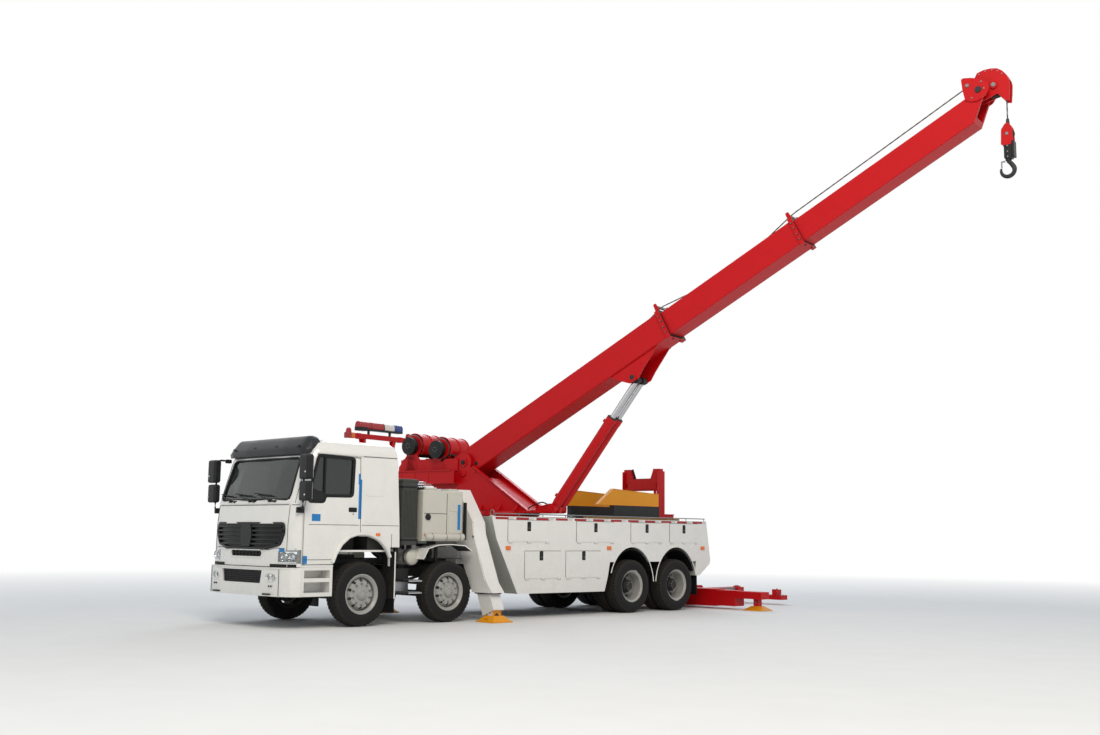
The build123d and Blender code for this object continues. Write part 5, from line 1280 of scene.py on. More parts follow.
def make_turntable():
    winch_ends = ("black", lambda c, n: c.x > 0.367 and -2.5 < c.y < -1.2 and c.z > 2.7)
    dress("superstructure", "red", [winch_ends], SLEW)
    maker = Maker(SLEW)
    for sx in (-1, 1):
        x = sx * 0.331
        # pin keepers, and black discs for the bores seen on the side plates, painted shade in the holes
        for y, z in ((-0.560, 2.668), (-0.830, 2.648)):
            maker.pin("x", y, z, x, x + sx * 0.012, 0.032, "red", 24, 0.003)
        maker.pin("x", PIVOT.y, PIVOT.z, sx * 0.345, sx * 0.372, 0.045, "black", 24, 0.003)
        # closed wall beside the winches
        maker.slab(sx * 0.349, 0.008, -2.44, -0.96, 2.69, 2.94, "red")
        # doubler plate with its weld bead
        bead = [(-0.66, 2.36), (-0.46, 2.34), (-0.10, 2.08), (-0.06, 2.02), (-0.12, 1.93)]
        maker.cord([(x, y, z) for y, z in bead], 0.008, "red", up=(1, 0, 0))
        outline = [(-0.93, 1.93)] + bead[::-1] + [(-0.93, 2.36)]
        maker.prism("x", outline, *sorted((x, x + sx * 0.004)), "red", 0.001)
        # foot gussets
        for y in (-0.80, -0.35, 0.10, 0.50):
            gusset = [(sx * 0.332, 1.925), (sx * 0.455, 1.925), (sx * 0.332, 2.06)]
            maker.prism("y", gusset, y - 0.01, y + 0.01, "red", 0.002)
        # tray stiffeners and handrail
        for y in (-2.30, -1.95, -1.60):
            maker.box(sx * 0.500, sx * 0.506, y - 0.02, y + 0.02, 2.47, 2.70, "red", 0.002)
        maker.box(sx * 0.498, sx * 0.520, -2.46, -1.00, 2.690, 2.715, "red")
        maker.rod((sx * 0.365, -1.444, 2.60), (sx * 0.365, -2.155, 2.60), 0.014, "steel", 10)
    # ring bolts
    for c, s in spokes(36):
        maker.pin("z", 0.575 * c, 0.575 * s, 1.918, 1.938, 0.014, "iron", 6)
    # gear cases, motors and cowls of both winches
    case = [(0.366, 0.0), (0.366, 0.178), (0.384, 0.178), (0.388, 0.160), (0.430, 0.158), (0.434, 0.170),
            (0.448, 0.170), (0.452, 0.150), (0.474, 0.135), (0.482, 0.070), (0.482, 0.0)]
    motor = [(-0.364, 0.0), (-0.364, 0.130), (-0.40, 0.130), (-0.405, 0.105), (-0.50, 0.100), (-0.505, 0.075),
             (-0.60, 0.070), (-0.61, 0.0)]
    for r, z in WINCHES:
        maker.lathe(case, "black", 40, (0, r, z))
        for c, s in spokes(16):
            maker.pin("x", r + 0.158 * c, z + 0.158 * s, 0.446, 0.460, 0.009, "steel", 6)
        for c, s in spokes(8):
            maker.pin("x", r + 0.048 * c, z + 0.048 * s, 0.480, 0.490, 0.007, "steel", 6)
        # motor and brake on the far end
        maker.lathe(motor, "iron", 28, (0, r, z))
        maker.box(-0.60, -0.52, r - 0.05, r + 0.05, z + 0.05, z + 0.12, "iron", 0.008)
        # rolled cowl over the drum, open below, with its stiffening hoops
        cowl = [(r + 0.252 * c, z + 0.252 * s) for c, s in spokes(22, -40, 12)]
        cowl += [(r + 0.242 * c, z + 0.242 * s) for c, s in spokes(22, 212, -12)]
        maker.prism("x", cowl, -0.29, 0.29, "red", 0.002, 1)
        for x in (-0.29, 0.0, 0.29):
            hoop = [(x, r + 0.256 * c, z + 0.256 * s) for c, s in spokes(22, -40, 12)]
            maker.cord(hoop, 0.010, "red", up=(1, 0, 0))
        cheek = [(r - 0.34, 2.69), (r + 0.34, 2.69), (r + 0.34, 2.80), (r + 0.15, z - 0.20),
                 (r - 0.15, z - 0.20), (r - 0.34, 2.80)]
        for sx in (-1, 1):
            maker.prism("x", cheek, sx * 0.348 - 0.012, sx * 0.348 + 0.012, "red", 0.005)
        maker.box(-0.33, 0.33, r - 0.16, r + 0.16, 2.476, 2.500, "red", 0.005)
    # bulkheads of the tail tray
    for y in (-2.40, -1.80, -1.03):
        maker.box(-0.335, 0.335, y - 0.006, y + 0.006, 2.476, 2.96, "red", 0.003)
    # hydraulic lines from the turntable to the winches and lift cylinders
    for k in range(3):
        x = 0.20 - 0.06 * k
        over = [(x, -1.02, 2.72), (x, -1.10, 2.95), (x + 0.10, -1.22, 3.02), (0.34 + 0.02 * k, -1.30, 2.95),
                (0.372, -1.38, 2.90)]
        under = [(x, -1.05, 2.60), (x + 0.05, -1.35, 2.56), (x + 0.04, -1.75, 2.56), (0.30, -2.02, 2.62),
                 (0.34, -2.10, 2.80)]
        maker.cord(smooth(over), 0.014, "seal")
        maker.cord(smooth(under), 0.014, "seal")
    for sx in (-1, 1):
        foot = [(0.23, 0.62, 1.95), (0.25, 0.85, 2.05), (0.255, 1.00, 2.08), (0.24, 1.10, 2.05)]
        maker.cord(smooth([(sx * x, y, z) for x, y, z in foot]), 0.012, "seal")
        floor = [(0.27, -0.30, 1.96), (0.26, 0.10, 1.99), (0.25, 0.50, 1.96)]
        maker.cord(smooth([(sx * x, y, z) for x, y, z in floor]), 0.016, "seal")
    # valve block and oil filter in the tail tray
    maker.box(-0.42, -0.18, -2.38, -2.05, 2.476, 2.66, "iron", 0.008)
    for k in range(5):
        maker.pin("z", -0.40 + 0.045 * k, -2.22, 2.655, 2.72, 0.012, "steel", 10)
    maker.pin("z", 0.30, -2.25, 2.476, 2.74, 0.06, "black", 24, 0.01)
    maker.out("turntable_fittings", "superstructure", "red_paint")


DRUM_HALF = 0.290
ROPE_INSIDE = 0.168
ROPE_TOP = 0.196


def make_winches(sizes):
    pitch = sizes.rope
    # rope laid turn by turn on the drum
    outline = [(-DRUM_HALF - 0.008, ROPE_INSIDE)]
    for k in range(int(2 * DRUM_HALF / pitch)):
        middle = -DRUM_HALF + pitch * k + pitch / 2
        outline += [(middle - pitch / 2 * c, ROPE_TOP + pitch / 2 * s) for c, s in spokes(5, 0, 45)]
    outline.append((DRUM_HALF + 0.008, ROPE_INSIDE))
    for name, (r, z) in zip(("front", "rear"), WINCHES):
        dress("winch_drum_" + name, "red", [("steel", lambda c, n: abs(c.x) < 0.30)], SLEW)
        maker = Maker(SLEW)
        maker.lathe(outline, "rope", 48, (0, r, z))
        for sx in (-1, 1):
            rim = [(sx * 0.318, 0.222), (sx * 0.326, 0.222), (sx * 0.328, 0.236), (sx * 0.318, 0.236)]
            maker.lathe(rim, "steel", 48, (0, r, z))
        maker.out("rope_winding_" + name, "winch_drum_" + name, "red_paint")


# the beacon bar's middle behind the turntable
BAR_Y = -3.40


def make_light_bar():
    maker = Maker(SLEW)
    # domed lenses on a black base; colours run red, opal, blue from the left
    maker.box(-0.655, 0.655, -3.472, -3.328, 3.575, 3.612, "black", 0.012, 3)
    section = [(-0.070, 3.606), (0.070, 3.606), (0.077, 3.660), (0.066, 3.715), (0.036, 3.750), (0.0, 3.757),
               (-0.036, 3.750), (-0.066, 3.715), (-0.077, 3.660)]
    for x0, x1, finish in ((-0.088, 0.655, "ruby"), (-0.402, -0.092, "opal"), (-0.655, -0.406, "azure")):
        maker.prism("x", [(BAR_Y + y, z) for y, z in section], x0, x1, finish, 0.016, 3)
    for x in (0.30, -0.09, -0.404):
        divider = [(BAR_Y + y * 1.02, z + 0.001) for y, z in section]
        maker.prism("x", divider, x - 0.006, x + 0.006, "black", 0.002)
    # black skirt and work lamp at the left end, feet
    maker.box(0.40, 0.66, -3.478, -3.322, 3.560, 3.640, "black", 0.014, 3)
    maker.pin("y", 0.50, 3.600, -3.478, -3.500, 0.040, "chrome", 24, 0.006)
    maker.pin("y", 0.50, 3.600, -3.496, -3.503, 0.032, "opal", 24, 0.003)
    for x in (-0.32, 0.32):
        maker.slab(x, 0.020, -3.42, -3.38, 3.498, 3.578, "black")
    # beacon, red and amber lamps, gusset to the post
    beacon = [(3.498, 0.0), (3.498, 0.060), (3.520, 0.060), (3.575, 0.052), (3.598, 0.030), (3.602, 0.0)]
    gusset = ((0.36, 3.40), (0.56, 3.40), (0.50, 3.20), (0.50, 2.95), (0.40, 2.95), (0.40, 3.20))
    for sx in (-1, 1):
        maker.lathe(beacon, "ruby", 24, (sx * 0.90, BAR_Y, 0), "z")
        maker.slab(sx * 0.93, 0.05, -3.455, -3.345, 3.385, 3.505, "ruby", 0.02, 3)
        maker.slab(sx * 0.80, 0.055, -3.450, -3.350, 3.388, 3.503, "amber", 0.02, 3)
        maker.slab(sx * 0.62, 0.05, -3.436, -3.365, 3.388, 3.506, "red", 0.006)
        maker.prism("y", [(sx * x, z) for x, z in gusset], -3.446, -3.436, "red", 0.002)
    maker.out("light_bar_lenses", "superstructure", "beacon", ("light_bar",))


# BOOM
# stages: name, half width, half height; all in the boom's frame, x across, y along, z up
STAGES = (("base", 0.250, 0.250), ("mid", 0.225, 0.225), ("tip", 0.200, 0.205))
# along and up: the head sheave's pin
HEAD = (11.63, 0.17)


def collar(maker, end, half, depth):
    """Screws that press the wear pads of a stage's collar."""
    y = end - depth / 2
    for sx in (-1, 1):
        for n in (-0.16, -0.06, 0.06, 0.16):
            maker.pin("x", y, n, sx * half, sx * (half + 0.012), 0.017, "iron", 6, 0.003)
            maker.pin("x", y, n, sx * (half + 0.010), sx * (half + 0.022), 0.008, "steel", 8)
    for x in (-0.12, 0.12):
        maker.pin("z", x, y, half, half + 0.012, 0.017, "iron", 6, 0.003)
        maker.pin("z", x, y, -half, -half - 0.012, 0.017, "iron", 6, 0.003)


def dress_stages():
    def head_pin(c, n):
        return abs(c.x) > 0.086 and math.hypot(c.y - HEAD[0], c.z - HEAD[1]) < 0.05
    own = {"base": [("steel", lambda c, n: math.hypot(c.y, c.z) < 0.052 and abs(n.x) < 0.5)],
           "tip": [("steel", head_pin)]}
    for name, w, h in STAGES:
        def long_edge(a, b, w=w, h=h):
            corner = all(abs(abs(p.x) - w) < 0.001 and abs(abs(p.z) - h) < 0.001 for p in (a, b))
            return corner and abs(a.y - b.y) > 1.0
        # painted shade: the stages' ends and inner faces are black, for the shade inside the hollow box
        # sections
        dark = ("black", lambda c, n, w=w, h=h: abs(c.x) < w - 0.006 and abs(c.z) < h - 0.006 and c.y < 11.0)
        dress("boom_" + name, "red", own.get(name, []) + [dark], BOOM, (long_edge, 0.016, 3))


def make_boom(sizes):
    dress_stages()
    rope = sizes.rope / 2
    maker = Maker(BOOM)
    collar(maker, 5.04, 0.280, 0.09)
    for sx in (-1, 1):
        # lift lug: keeper plates, weld beads
        maker.pin("x", 4.0, -0.49, sx * 0.238, sx * 0.250, 0.045, "iron", 24, 0.004)
        maker.slab(sx * 0.244, 0.006, 3.93, 4.07, -0.56, -0.535, "red", 0.003)
        maker.cord([(sx * 0.252, 3.60, -0.246), (sx * 0.252, 4.72, -0.246)], 0.007, "red")
        for n in (-0.232, 0.232):
            maker.cord([(sx * 0.250, -0.15, n), (sx * 0.250, 4.90, n)], 0.004, "red")
        # black disc for the bore in the heel, beside the pivot: painted shade in the hole
        maker.pin("x", 0.21, -0.135, sx * 0.248, sx * 0.254, 0.042, "black", 24, 0.002)
    # heel plug, telescoping cylinder end and cross straps
    maker.box(-0.10, 0.10, -0.318, -0.298, -0.16, 0.02, "red", 0.006)
    maker.pin("y", 0, -0.08, -0.300, -0.335, 0.06, "iron", 24, 0.006)
    for s in (0.5, 2.5):
        maker.box(-0.20, 0.20, s - 0.03, s + 0.03, 0.249, 0.262, "red")
    # guide roller cheeks and rope run from the winch
    cheek = eased([(4.96, 0.278), (5.04, 0.278), (5.03, 0.435), (4.97, 0.435)], 0.02)
    for sx in (-1, 1):
        maker.prism("x", cheek, sx * 0.215 - 0.008, sx * 0.215 + 0.008, "red", 0.003)
    maker.pin("x", 5.0, 0.380, -0.20, 0.20, 0.026, "steel", 20, 0.004)
    run = ((5.04, 0.416), (4.95, 0.414), (4.30, 0.290), (0.10, 0.272), (-0.20, 0.262))
    maker.cord([(-0.035, y, z) for y, z in run], rope, "rope")
    maker.out("boom_base_fittings", "boom_base", "red_paint")
    maker = Maker(BOOM)
    collar(maker, 7.91, 0.250, 0.08)
    maker.pin("x", 7.87, 0.345, -0.18, 0.18, 0.024, "steel", 20, 0.004)
    maker.cord([(0.035, 7.985, 0.385), (0.032, 7.90, 0.382), (0.025, 7.82, 0.376), (0.0, 7.30, 0.305),
                (0.0, 5.60, 0.305), (-0.035, 5.045, 0.414)], rope, "rope")
    cheek = eased([(7.83, 0.248), (7.91, 0.248), (7.90, 0.400), (7.84, 0.400)], 0.02)
    for sx in (-1, 1):
        maker.prism("x", cheek, sx * 0.190 - 0.008, sx * 0.190 + 0.008, "red", 0.003)
    maker.out("boom_mid_fittings", "boom_mid", "red_paint")
    # head: rope over the sheave, ears, pins, roller and its brackets
    maker = Maker(BOOM)
    maker.cord([(0.035, 7.985, 0.385), (0.025, 9.6, 0.405), (0.0, 11.30, 0.437), (0.0, 11.50, 0.394),
                (0.0, 11.575, 0.345)], rope, "rope")
    for sx in (-1, 1):
        maker.pin("x", *HEAD, sx * 0.085, sx * 0.112, 0.062, "red", 28, 0.005)
        maker.pin("x", *HEAD, sx * 0.110, sx * 0.124, 0.036, "steel", 24, 0.004)
        maker.pin("x", 11.42, 0.20, sx * 0.221, sx * 0.240, 0.050, "iron", 28, 0.005)
        maker.pin("x", 11.32, 0.36, sx * 0.221, sx * 0.236, 0.030, "steel", 20, 0.004)
        maker.slab(sx * 0.132, 0.020, 11.27, 11.35, 0.46, 0.50, "red", 0.005)
        for s, n in ((11.28, 0.14), (11.50, 0.16), (11.52, 0.28)):
            maker.pin("x", s, n, sx * 0.221, sx * 0.232, 0.013, "steel", 6)
        # guard rivets along the crest
        for s, n in ((11.54, 0.46), (11.64, 0.445), (11.73, 0.395), (11.79, 0.33), (11.82, 0.25)):
            maker.pin("x", s, n, sx * 0.086, sx * 0.095, 0.011, "steel", 6)
    maker.pin("x", 11.31, 0.475, -0.19, 0.19, 0.030, "steel", 24, 0.004)
    maker.pin("x", 11.42, 0.20, -0.16, 0.16, 0.045, "steel", 20)
    for x in (-0.16, 0.16):
        maker.pin("y", x, 0.08, 11.20, 11.26, 0.03, "iron")
    maker.out("boom_head_fittings", "boom_tip", "red_paint")


def make_hook(sizes):
    """Head sheave, fall, block and hook; they swing as one."""
    maker = Maker(SLEW)
    r = PIVOT.y + HEAD[0] * math.cos(RAISE) - HEAD[1] * math.sin(RAISE)
    z = PIVOT.z + HEAD[0] * math.sin(RAISE) + HEAD[1] * math.cos(RAISE)
    flange = [(0.050, 0.0455), (0.050, 0.075), (0.030, 0.082), (0.018, 0.128), (0.045, 0.140), (0.045, 0.177),
              (0.028, 0.177), (0.014, 0.155)]
    maker.lathe([(-a, b) for a, b in flange] + flange[::-1], "iron", 56, (0, r, z))
    x = r + 0.165
    # fall: from the groove's top, round, and down to the block
    arc = [(0.0, r + 0.166 * c, z + 0.166 * s) for c, s in spokes(11, 100, -10)]
    maker.cord(arc + [(0.0, x + 0.001, 8.2), (0.0, x, 7.95), (0.0, x, 7.80)], sizes.rope / 2, "rope")
    # wedge socket and block
    maker.rod((0, x, 7.90), (0, x, 7.80), 0.022, "iron", 16, r2=0.032, lip=0.003)
    top = 7.821
    cheek = ((-0.025, 0), (0.025, 0), (0.075, 0.09), (0.085, 0.33), (0.05, 0.345), (-0.07, 0.345),
             (-0.100, 0.33), (-0.090, 0.09))
    cheek = eased([(x + dy, top - dz) for dy, dz in cheek], 0.02)
    for a, b in ((-0.060, -0.042), (0.042, 0.060)):
        maker.prism("x", cheek, a, b, "red", 0.003)
    flange = [(0.040, 0.0), (0.040, 0.092), (0.022, 0.100), (0.010, 0.085)]
    maker.lathe([(-a, b) for a, b in flange] + flange[::-1], "iron", 40, (0, x - 0.004, top - 0.170))
    maker.pin("x", x - 0.004, top - 0.17, -0.072, 0.072, 0.026, "steel", 20, 0.004)
    weight = [(x - 0.06, top - 0.30), (x + 0.06, top - 0.30), (x + 0.06, top - 0.56), (x - 0.06, top - 0.56)]
    maker.prism("x", eased(weight, 0.02), -0.055, 0.055, "black", 0.008, 3)
    maker.box(-0.075, 0.075, x + 0.060, x + 0.095, top - 0.54, top - 0.29, "black", 0.010, 3)
    for k in (0.36, 0.45, 0.53):
        maker.pin("x", x - 0.005, top - k, -0.060, 0.060, 0.012, "steel", 6)
    # swivel, shank and hook
    c = x - 0.025
    maker.pin("z", 0, x - 0.008, top - 0.545, top - 0.585, 0.046, "iron", 24, 0.006)
    hook = [(0, x - 0.008, 7.265), (0, x - 0.006, 7.225), (0, c + 0.055, 7.188)]
    hook += [(0, c + 0.100 * u, 7.090 + 0.100 * v) for u, v in spokes(17, 40, -15)]
    radii = [0.034, 0.033, 0.034] + [0.036] * 3 + [0.034] + [0.032] * 5
    radii += [0.031, 0.030, 0.028, 0.026, 0.024, 0.022, 0.019, 0.015]
    maker.tube(hook, radii, "iron")
    # safety latch across the mouth
    maker.box(-0.016, 0.016, c - 0.095, c - 0.080, 7.135, 7.235, "steel", 0.003)
    maker.pin("x", c - 0.045, 7.232, -0.024, 0.024, 0.010, "steel", 12)
    maker.box(-0.016, 0.016, c - 0.090, c - 0.040, 7.225, 7.238, "steel", 0.003)
    maker.out("hook_and_block", "hook_block", "hook_steel", ("hook_block",), 0.7)


def make_lift():
    foot = Vector((0, 1.160, 1.975))
    eye = PIVOT + Matrix.Rotation(RAISE, 3, "X") @ Vector((0, 4.0, -0.535))
    way = eye - foot
    where = SLEW @ Matrix.Translation(foot) @ Matrix.Rotation(math.atan2(way.z, way.y), 4, "X")
    bright = [("chrome", lambda c, n: math.hypot(abs(c.x) - 0.1, c.z) < 0.052 and c.y > 0.14)]
    dress("lift_barrels", "red", bright, where)
    dress("lift_rods", "chrome", [("iron", lambda c, n: c.y > way.length - 0.09)], where)
    maker = Maker(where)
    gland = [(2.062, 0.052), (2.062, 0.084), (2.074, 0.080), (2.078, 0.060), (2.078, 0.052)]
    for x in (-0.1, 0.1):
        # gland with its screws, port blocks
        maker.lathe(gland, "iron", 32, (x, 0, 0), "y")
        for c, s in spokes(8):
            maker.pin("y", x + 0.092 * c, 0.092 * s, 2.060, 2.070, 0.008, "iron", 6)
        for y in (1.90, 0.20):
            maker.slab(x, 0.025, y, y + 0.06, 0.085, 0.125, "red", 0.005)
    maker.out("lift_cylinder_fittings", "lift_barrels", "red_paint")


# OUTRIGGERS AND UNDERLIFT
# a point on the leg's outer edge, its middle along the lorry, its slope and its width across
LEG_OUT = (1.507, 0.655)
LEG_Y = 2.48
LEG_TILT = math.radians(22.5)
LEG_WIDE = 0.325


def leg_x(z):
    """Outer edge of the sloping leg at a height."""
    return LEG_OUT[0] + (LEG_OUT[1] - z) * math.tan(LEG_TILT)


def make_legs():
    def outer_edge(a, b):
        far = min(abs(a.x), abs(b.x)) > 1.1 and min(a.z, b.z) > 0.6
        return far and abs(a.y - b.y) < 0.001 and abs(abs(a.y - LEG_Y) - 0.14) < 0.002
    dress("leg_housings", "white", [
        ("chassis", lambda c, n: abs(c.x) < 0.70 and c.z < 1.36 and abs(n.y) < 0.5),
        ("chassis", lambda c, n: n.z < -0.9)], rounded=(outer_edge, 0.012, 2))
    maker = Maker()

    def covers():
        # cover strip down the front and rear edge
        for y in (2.340, 2.620):
            line = [(x - 0.030, y, z) for x, z in ((1.150, 1.672), (1.176, 1.487), (1.507, 0.690))]
            maker.cord(line, 0.010, "white", up=(0, 1, 0))
        # collar lip with a rubber scraper, each of four bars
        for z, grow, finish in ((0.497, 0.014, "white"), (0.478, 0.004, "seal")):
            xo = leg_x(z)
            xi = xo - LEG_WIDE / math.cos(LEG_TILT)
            x0, x1 = xi - grow, xo + grow + 0.01
            for bar in ((x0, x1, 2.336 - grow, 2.341), (x0, x1, 2.619, 2.624 + grow),
                        (x0, xi + 0.004, 2.336, 2.624), (xo - 0.002, x1, 2.336, 2.624)):
                maker.box(*bar, z - 0.009, z + 0.009, finish, 0.002)
        # grease points and screws
        maker.pin("y", 1.16, 1.44, 2.335, 2.325, 0.020, "steel")
        maker.pin("y", 1.16, 1.44, 2.635, 2.622, 0.020, "steel")
        for z in (1.95, 1.75):
            maker.pin("y", 0.72, z, 2.335, 2.328, 0.016, "steel", 6)
    both_sides(maker, covers)
    maker.out("leg_housing_trim", "chassis", "white_paint")
    x = leg_x(0.120) - 0.150

    def foot(c, n):
        lug = abs(c.y - LEG_Y) < 0.102 and abs(abs(c.x - 1.578) - 0.060) < 0.012
        return c.z < 0.112 or c.z < 0.243 and abs(n.z) < 0.3 and lug
    for side, where in SIDES:
        dress("front_leg_" + side, "white", [("yellow", foot)], where)
        maker = Maker(where)
        # pin and ball joint over the foot plate, lifting handles
        maker.pin("y", x, 0.175, 2.365, 2.595, 0.026, "steel", 20, 0.004)
        joint = [(0.108, 0.0), (0.108, 0.085), (0.135, 0.070), (0.165, 0.055), (0.20, 0.055), (0.20, 0.0)]
        maker.lathe(joint, "iron", 32, (x, LEG_Y, 0), "z")
        for y in (LEG_Y - 0.19, LEG_Y + 0.19):
            handle = [(x - 0.06, y, 0.030), (x - 0.06, y, 0.075), (x + 0.06, y, 0.075), (x + 0.06, y, 0.030)]
            maker.cord(handle, 0.007, "yellow", up=(0, 1, 0))
        maker.out("foot_fittings_" + side, "front_leg_" + side, "yellow_paint")


# the crossbar's middle along the lorry
BAR = 11.425


def make_underlift():
    dress("underlift_carriage", "red", [("chassis", lambda c, n: c.y < 8.3)])
    dress("stinger", "red", [("steel", lambda c, n: 9.2 < c.y < 10.4 and abs(c.x) < 0.112
                              and abs(n.z) + abs(n.x) > 0.9 and c.z > 0.12)])
    maker = Maker()
    # carriage: wear strips, lift cylinders, hose loops, stabiliser doublers
    for sx in (-1, 1):
        maker.slab(sx * 0.38, 0.06, 8.984, 8.996, 0.44, 1.48, "red")
        for z in (0.55, 0.80, 1.05, 1.30, 1.45):
            for x in (0.42, 0.34):
                maker.pin("y", sx * x, z, 8.980, 9.004, 0.012, "steel", 6)
        maker.pin("z", sx * 0.20, 8.985, 0.44, 0.86, 0.035, "iron", 20, 0.004)
        maker.pin("y", sx * 0.15, 0.24, 9.895, 9.905, 0.02, "steel", 12)
        maker.slab(sx * 0.95, 0.25, 8.995, 9.001, 0.10, 0.35, "red", 0.003)
        hose = ((0.26, 9.02, 0.88), (0.27, 9.06, 0.70), (0.24, 9.10, 0.52), (0.18, 9.20, 0.435))
        maker.cord([(sx * x, y, z) for x, y, z in hose], 0.012, "seal")
    maker.box(-0.195, 0.195, 9.86, 9.905, 0.055, 0.128, "red")
    maker.box(-0.195, 0.195, 9.86, 9.905, 0.352, 0.425, "red")
    maker.out("carriage_fittings", "underlift_carriage", "red_paint")
    maker = Maker()
    # crossbar: pivot, fork sockets, locking pins
    maker.pin("z", 0, BAR, 0.205, 0.372, 0.085, "red", 32, 0.006)
    maker.pin("z", 0, BAR, 0.370, 0.388, 0.040, "steel", 6)
    socket = [(0.2095, 0.026), (0.2095, 0.055), (0.220, 0.052), (0.220, 0.026)]
    for sx in (-1, 1):
        maker.slab(sx * 1.11, 0.062, 11.322, 11.334, 0.21, 0.338, "red", 0.003)
        maker.pin("z", sx * 1.11, BAR, 0.325, 0.350, 0.022, "steel", 16, 0.003)
        maker.lathe(socket, "steel", 28, (sx * 1.23, BAR, 0), "z")
        maker.pin("y", sx * 0.70, 0.16, 11.298, 11.290, 0.018, "steel", 6)
        for x in (0.25, 0.5, 0.75):
            maker.pin("z", sx * x, BAR, 0.206, 0.216, 0.018, "iron", 12)
    maker.out("crossbar_fittings", "stinger", "red_paint")
    for side, where in SIDES:
        dress("rear_stab_" + side, "red", [("yellow", lambda c, n: c.z < 0.092)], where)
        maker = Maker(where)
        maker.pin("y", 2.210, 0.165, 9.105, 9.245, 0.022, "steel", 18, 0.003)
        maker.out("stabiliser_fittings_" + side, "rear_stab_" + side, "red_paint")


# STAGE
def floor_finish():
    """Matt painted concrete, pale; far from the lorry it turns into the white backdrop."""
    r = Recipe("floor, pale matt paint", Roughness=0.9)
    r.colour(r.texture("Noise", Scale=1.5, Detail=6.0), linear("#E9E9E7"), linear("#E2E2E0"))
    far = add(r.tree, "VectorMath", [(0, r.place)], operation="LENGTH").outputs["Value"]
    fade = r.ranged(far, From_Min=11.0, From_Max=30.0)
    glow = add(r.tree, "Emission", Color=(1, 1, 1, 1), Strength=1.0)
    blend = add(r.tree, "MixShader", [(0, fade), (1, r.shader.outputs[0]), (2, glow.outputs[0])])
    r.tree.links.new(blend.outputs[0], r.output.inputs["Surface"])
    return r.material


def make_stage():
    bm = bmesh.new()
    bmesh.ops.create_circle(bm, cap_ends=True, segments=96, radius=400.0)
    mesh = bpy.data.meshes.new("floor")
    bm.to_mesh(mesh)
    bm.free()
    mesh.materials.append(floor_finish())
    floor = bpy.data.objects.new("floor", mesh)
    bpy.context.scene.collection.objects.link(floor)
    floor.location = (0, 0, -0.002)
    world = bpy.data.worlds.new("studio")
    bpy.context.scene.world = world
    world.use_nodes = True
    tree = world.node_tree
    tree.nodes.clear()
    path = add(tree, "LightPath")
    seen = add(tree, "Math", [(0, path.outputs["Is Camera Ray"]), (1, path.outputs["Is Glossy Ray"])],
               operation="ADD")
    seen = add(tree, "Math", [(0, seen.outputs[0]), (1, path.outputs["Is Transmission Ray"])],
               operation="ADD", use_clamp=True)
    white = add(tree, "Background", Color=(1, 1, 1, 1), Strength=1.0)
    fill = add(tree, "Background", Color=linear("#DDE6F0"), Strength=0.62)
    blend = add(tree, "MixShader", [(0, seen.outputs[0]), (1, fill.outputs[0]), (2, white.outputs[0])])
    add(tree, "OutputWorld", [("Surface", blend.outputs[0])])
    # a broad soft key from the left front and a weaker one from behind
    lamps = (("key", (16.0, -16.0, 20.0), 14.0, 4200.0, "#FFF6E8"),
             ("back", (-18.0, 14.0, 16.0), 12.0, 1500.0, "#EAF2FF"))
    for name, place, size, power, tint in lamps:
        light = bpy.data.lights.new(name, "AREA")
        light.shape = "DISK"
        light.size = size
        light.energy = power
        light.color = linear(tint)[:3]
        lamp = bpy.data.objects.new(name, light)
        bpy.context.scene.collection.objects.link(lamp)
        lamp.location = place
        lamp.rotation_euler = (Vector((0, 0, 2.0)) - Vector(place)).to_track_quat("-Z", "Y").to_euler()
    bpy.context.scene.view_settings.view_transform = "Standard"


# found from the photograph: turn, tilt and roll in degrees, focal length in its pixels, place in the
# lorry's frame
CAMERA_TURN = (44.568, 7.714, 0.672)
FOCAL, PHOTO_WIDE = 1234.28, 1100
CAMERA_PLACE = Vector((17.498, -11.936, 1.488))


def make_camera():
    """Camera at the photograph's place: three-quarter front, low."""
    yaw, pitch, roll = [math.radians(a) for a in CAMERA_TURN]
    ahead = Vector((-math.cos(yaw) * math.cos(pitch), math.sin(yaw) * math.cos(pitch), math.sin(pitch)))
    right = Vector((math.sin(yaw), math.cos(yaw), 0))
    up = right.cross(ahead)
    right, up = right * math.cos(roll) + up * math.sin(roll), up * math.cos(roll) - right * math.sin(roll)
    optics = bpy.data.cameras.new("photo camera")
    optics.sensor_width = 36.0
    optics.lens = FOCAL / PHOTO_WIDE * optics.sensor_width
    optics.clip_end = 1000.0
    camera = bpy.data.objects.new("photo camera", optics)
    turn = Matrix((right, up, -ahead)).transposed()
    camera.matrix_world = Matrix.Translation(SHIFT + CAMERA_PLACE) @ turn.to_4x4()
    bpy.context.scene.collection.objects.link(camera)
    bpy.context.scene.camera = camera


# OPERATORS
def paints(context):
    """Finishes are made once, by the first operator that needs them."""
    if not M:
        mix_paints(context.scene.truck_colours)


class TRUCK_OT_wheels(bpy.types.Operator):
    """Treaded tyres and painted steel wheels on four axles"""
    bl_idname = "truck.wheels"
    bl_label = "Wheels"

    def execute(self, context):
        paints(context)
        make_tyres(context.scene.truck_sizes)
        make_rims(context.scene.truck_sizes)
        return {"FINISHED"}


class TRUCK_OT_chassis(bpy.types.Operator):
    """Chassis rails, axles, knuckles and pipe runs"""
    bl_idname = "truck.chassis"
    bl_label = "Chassis"

    def execute(self, context):
        paints(context)
        make_chassis()
        return {"FINISHED"}


class TRUCK_OT_cab(bpy.types.Operator):
    """Cab shell, doors, windows, grille, bumper, lamps, visor, mirrors and lining"""
    bl_idname = "truck.cab"
    bl_label = "Cab"

    def execute(self, context):
        paints(context)
        make_cab_shell()
        make_doors()
        make_front()
        make_bumper()
        make_lamps()
        make_visor_and_mirrors()
        make_interior()
        return {"FINISHED"}


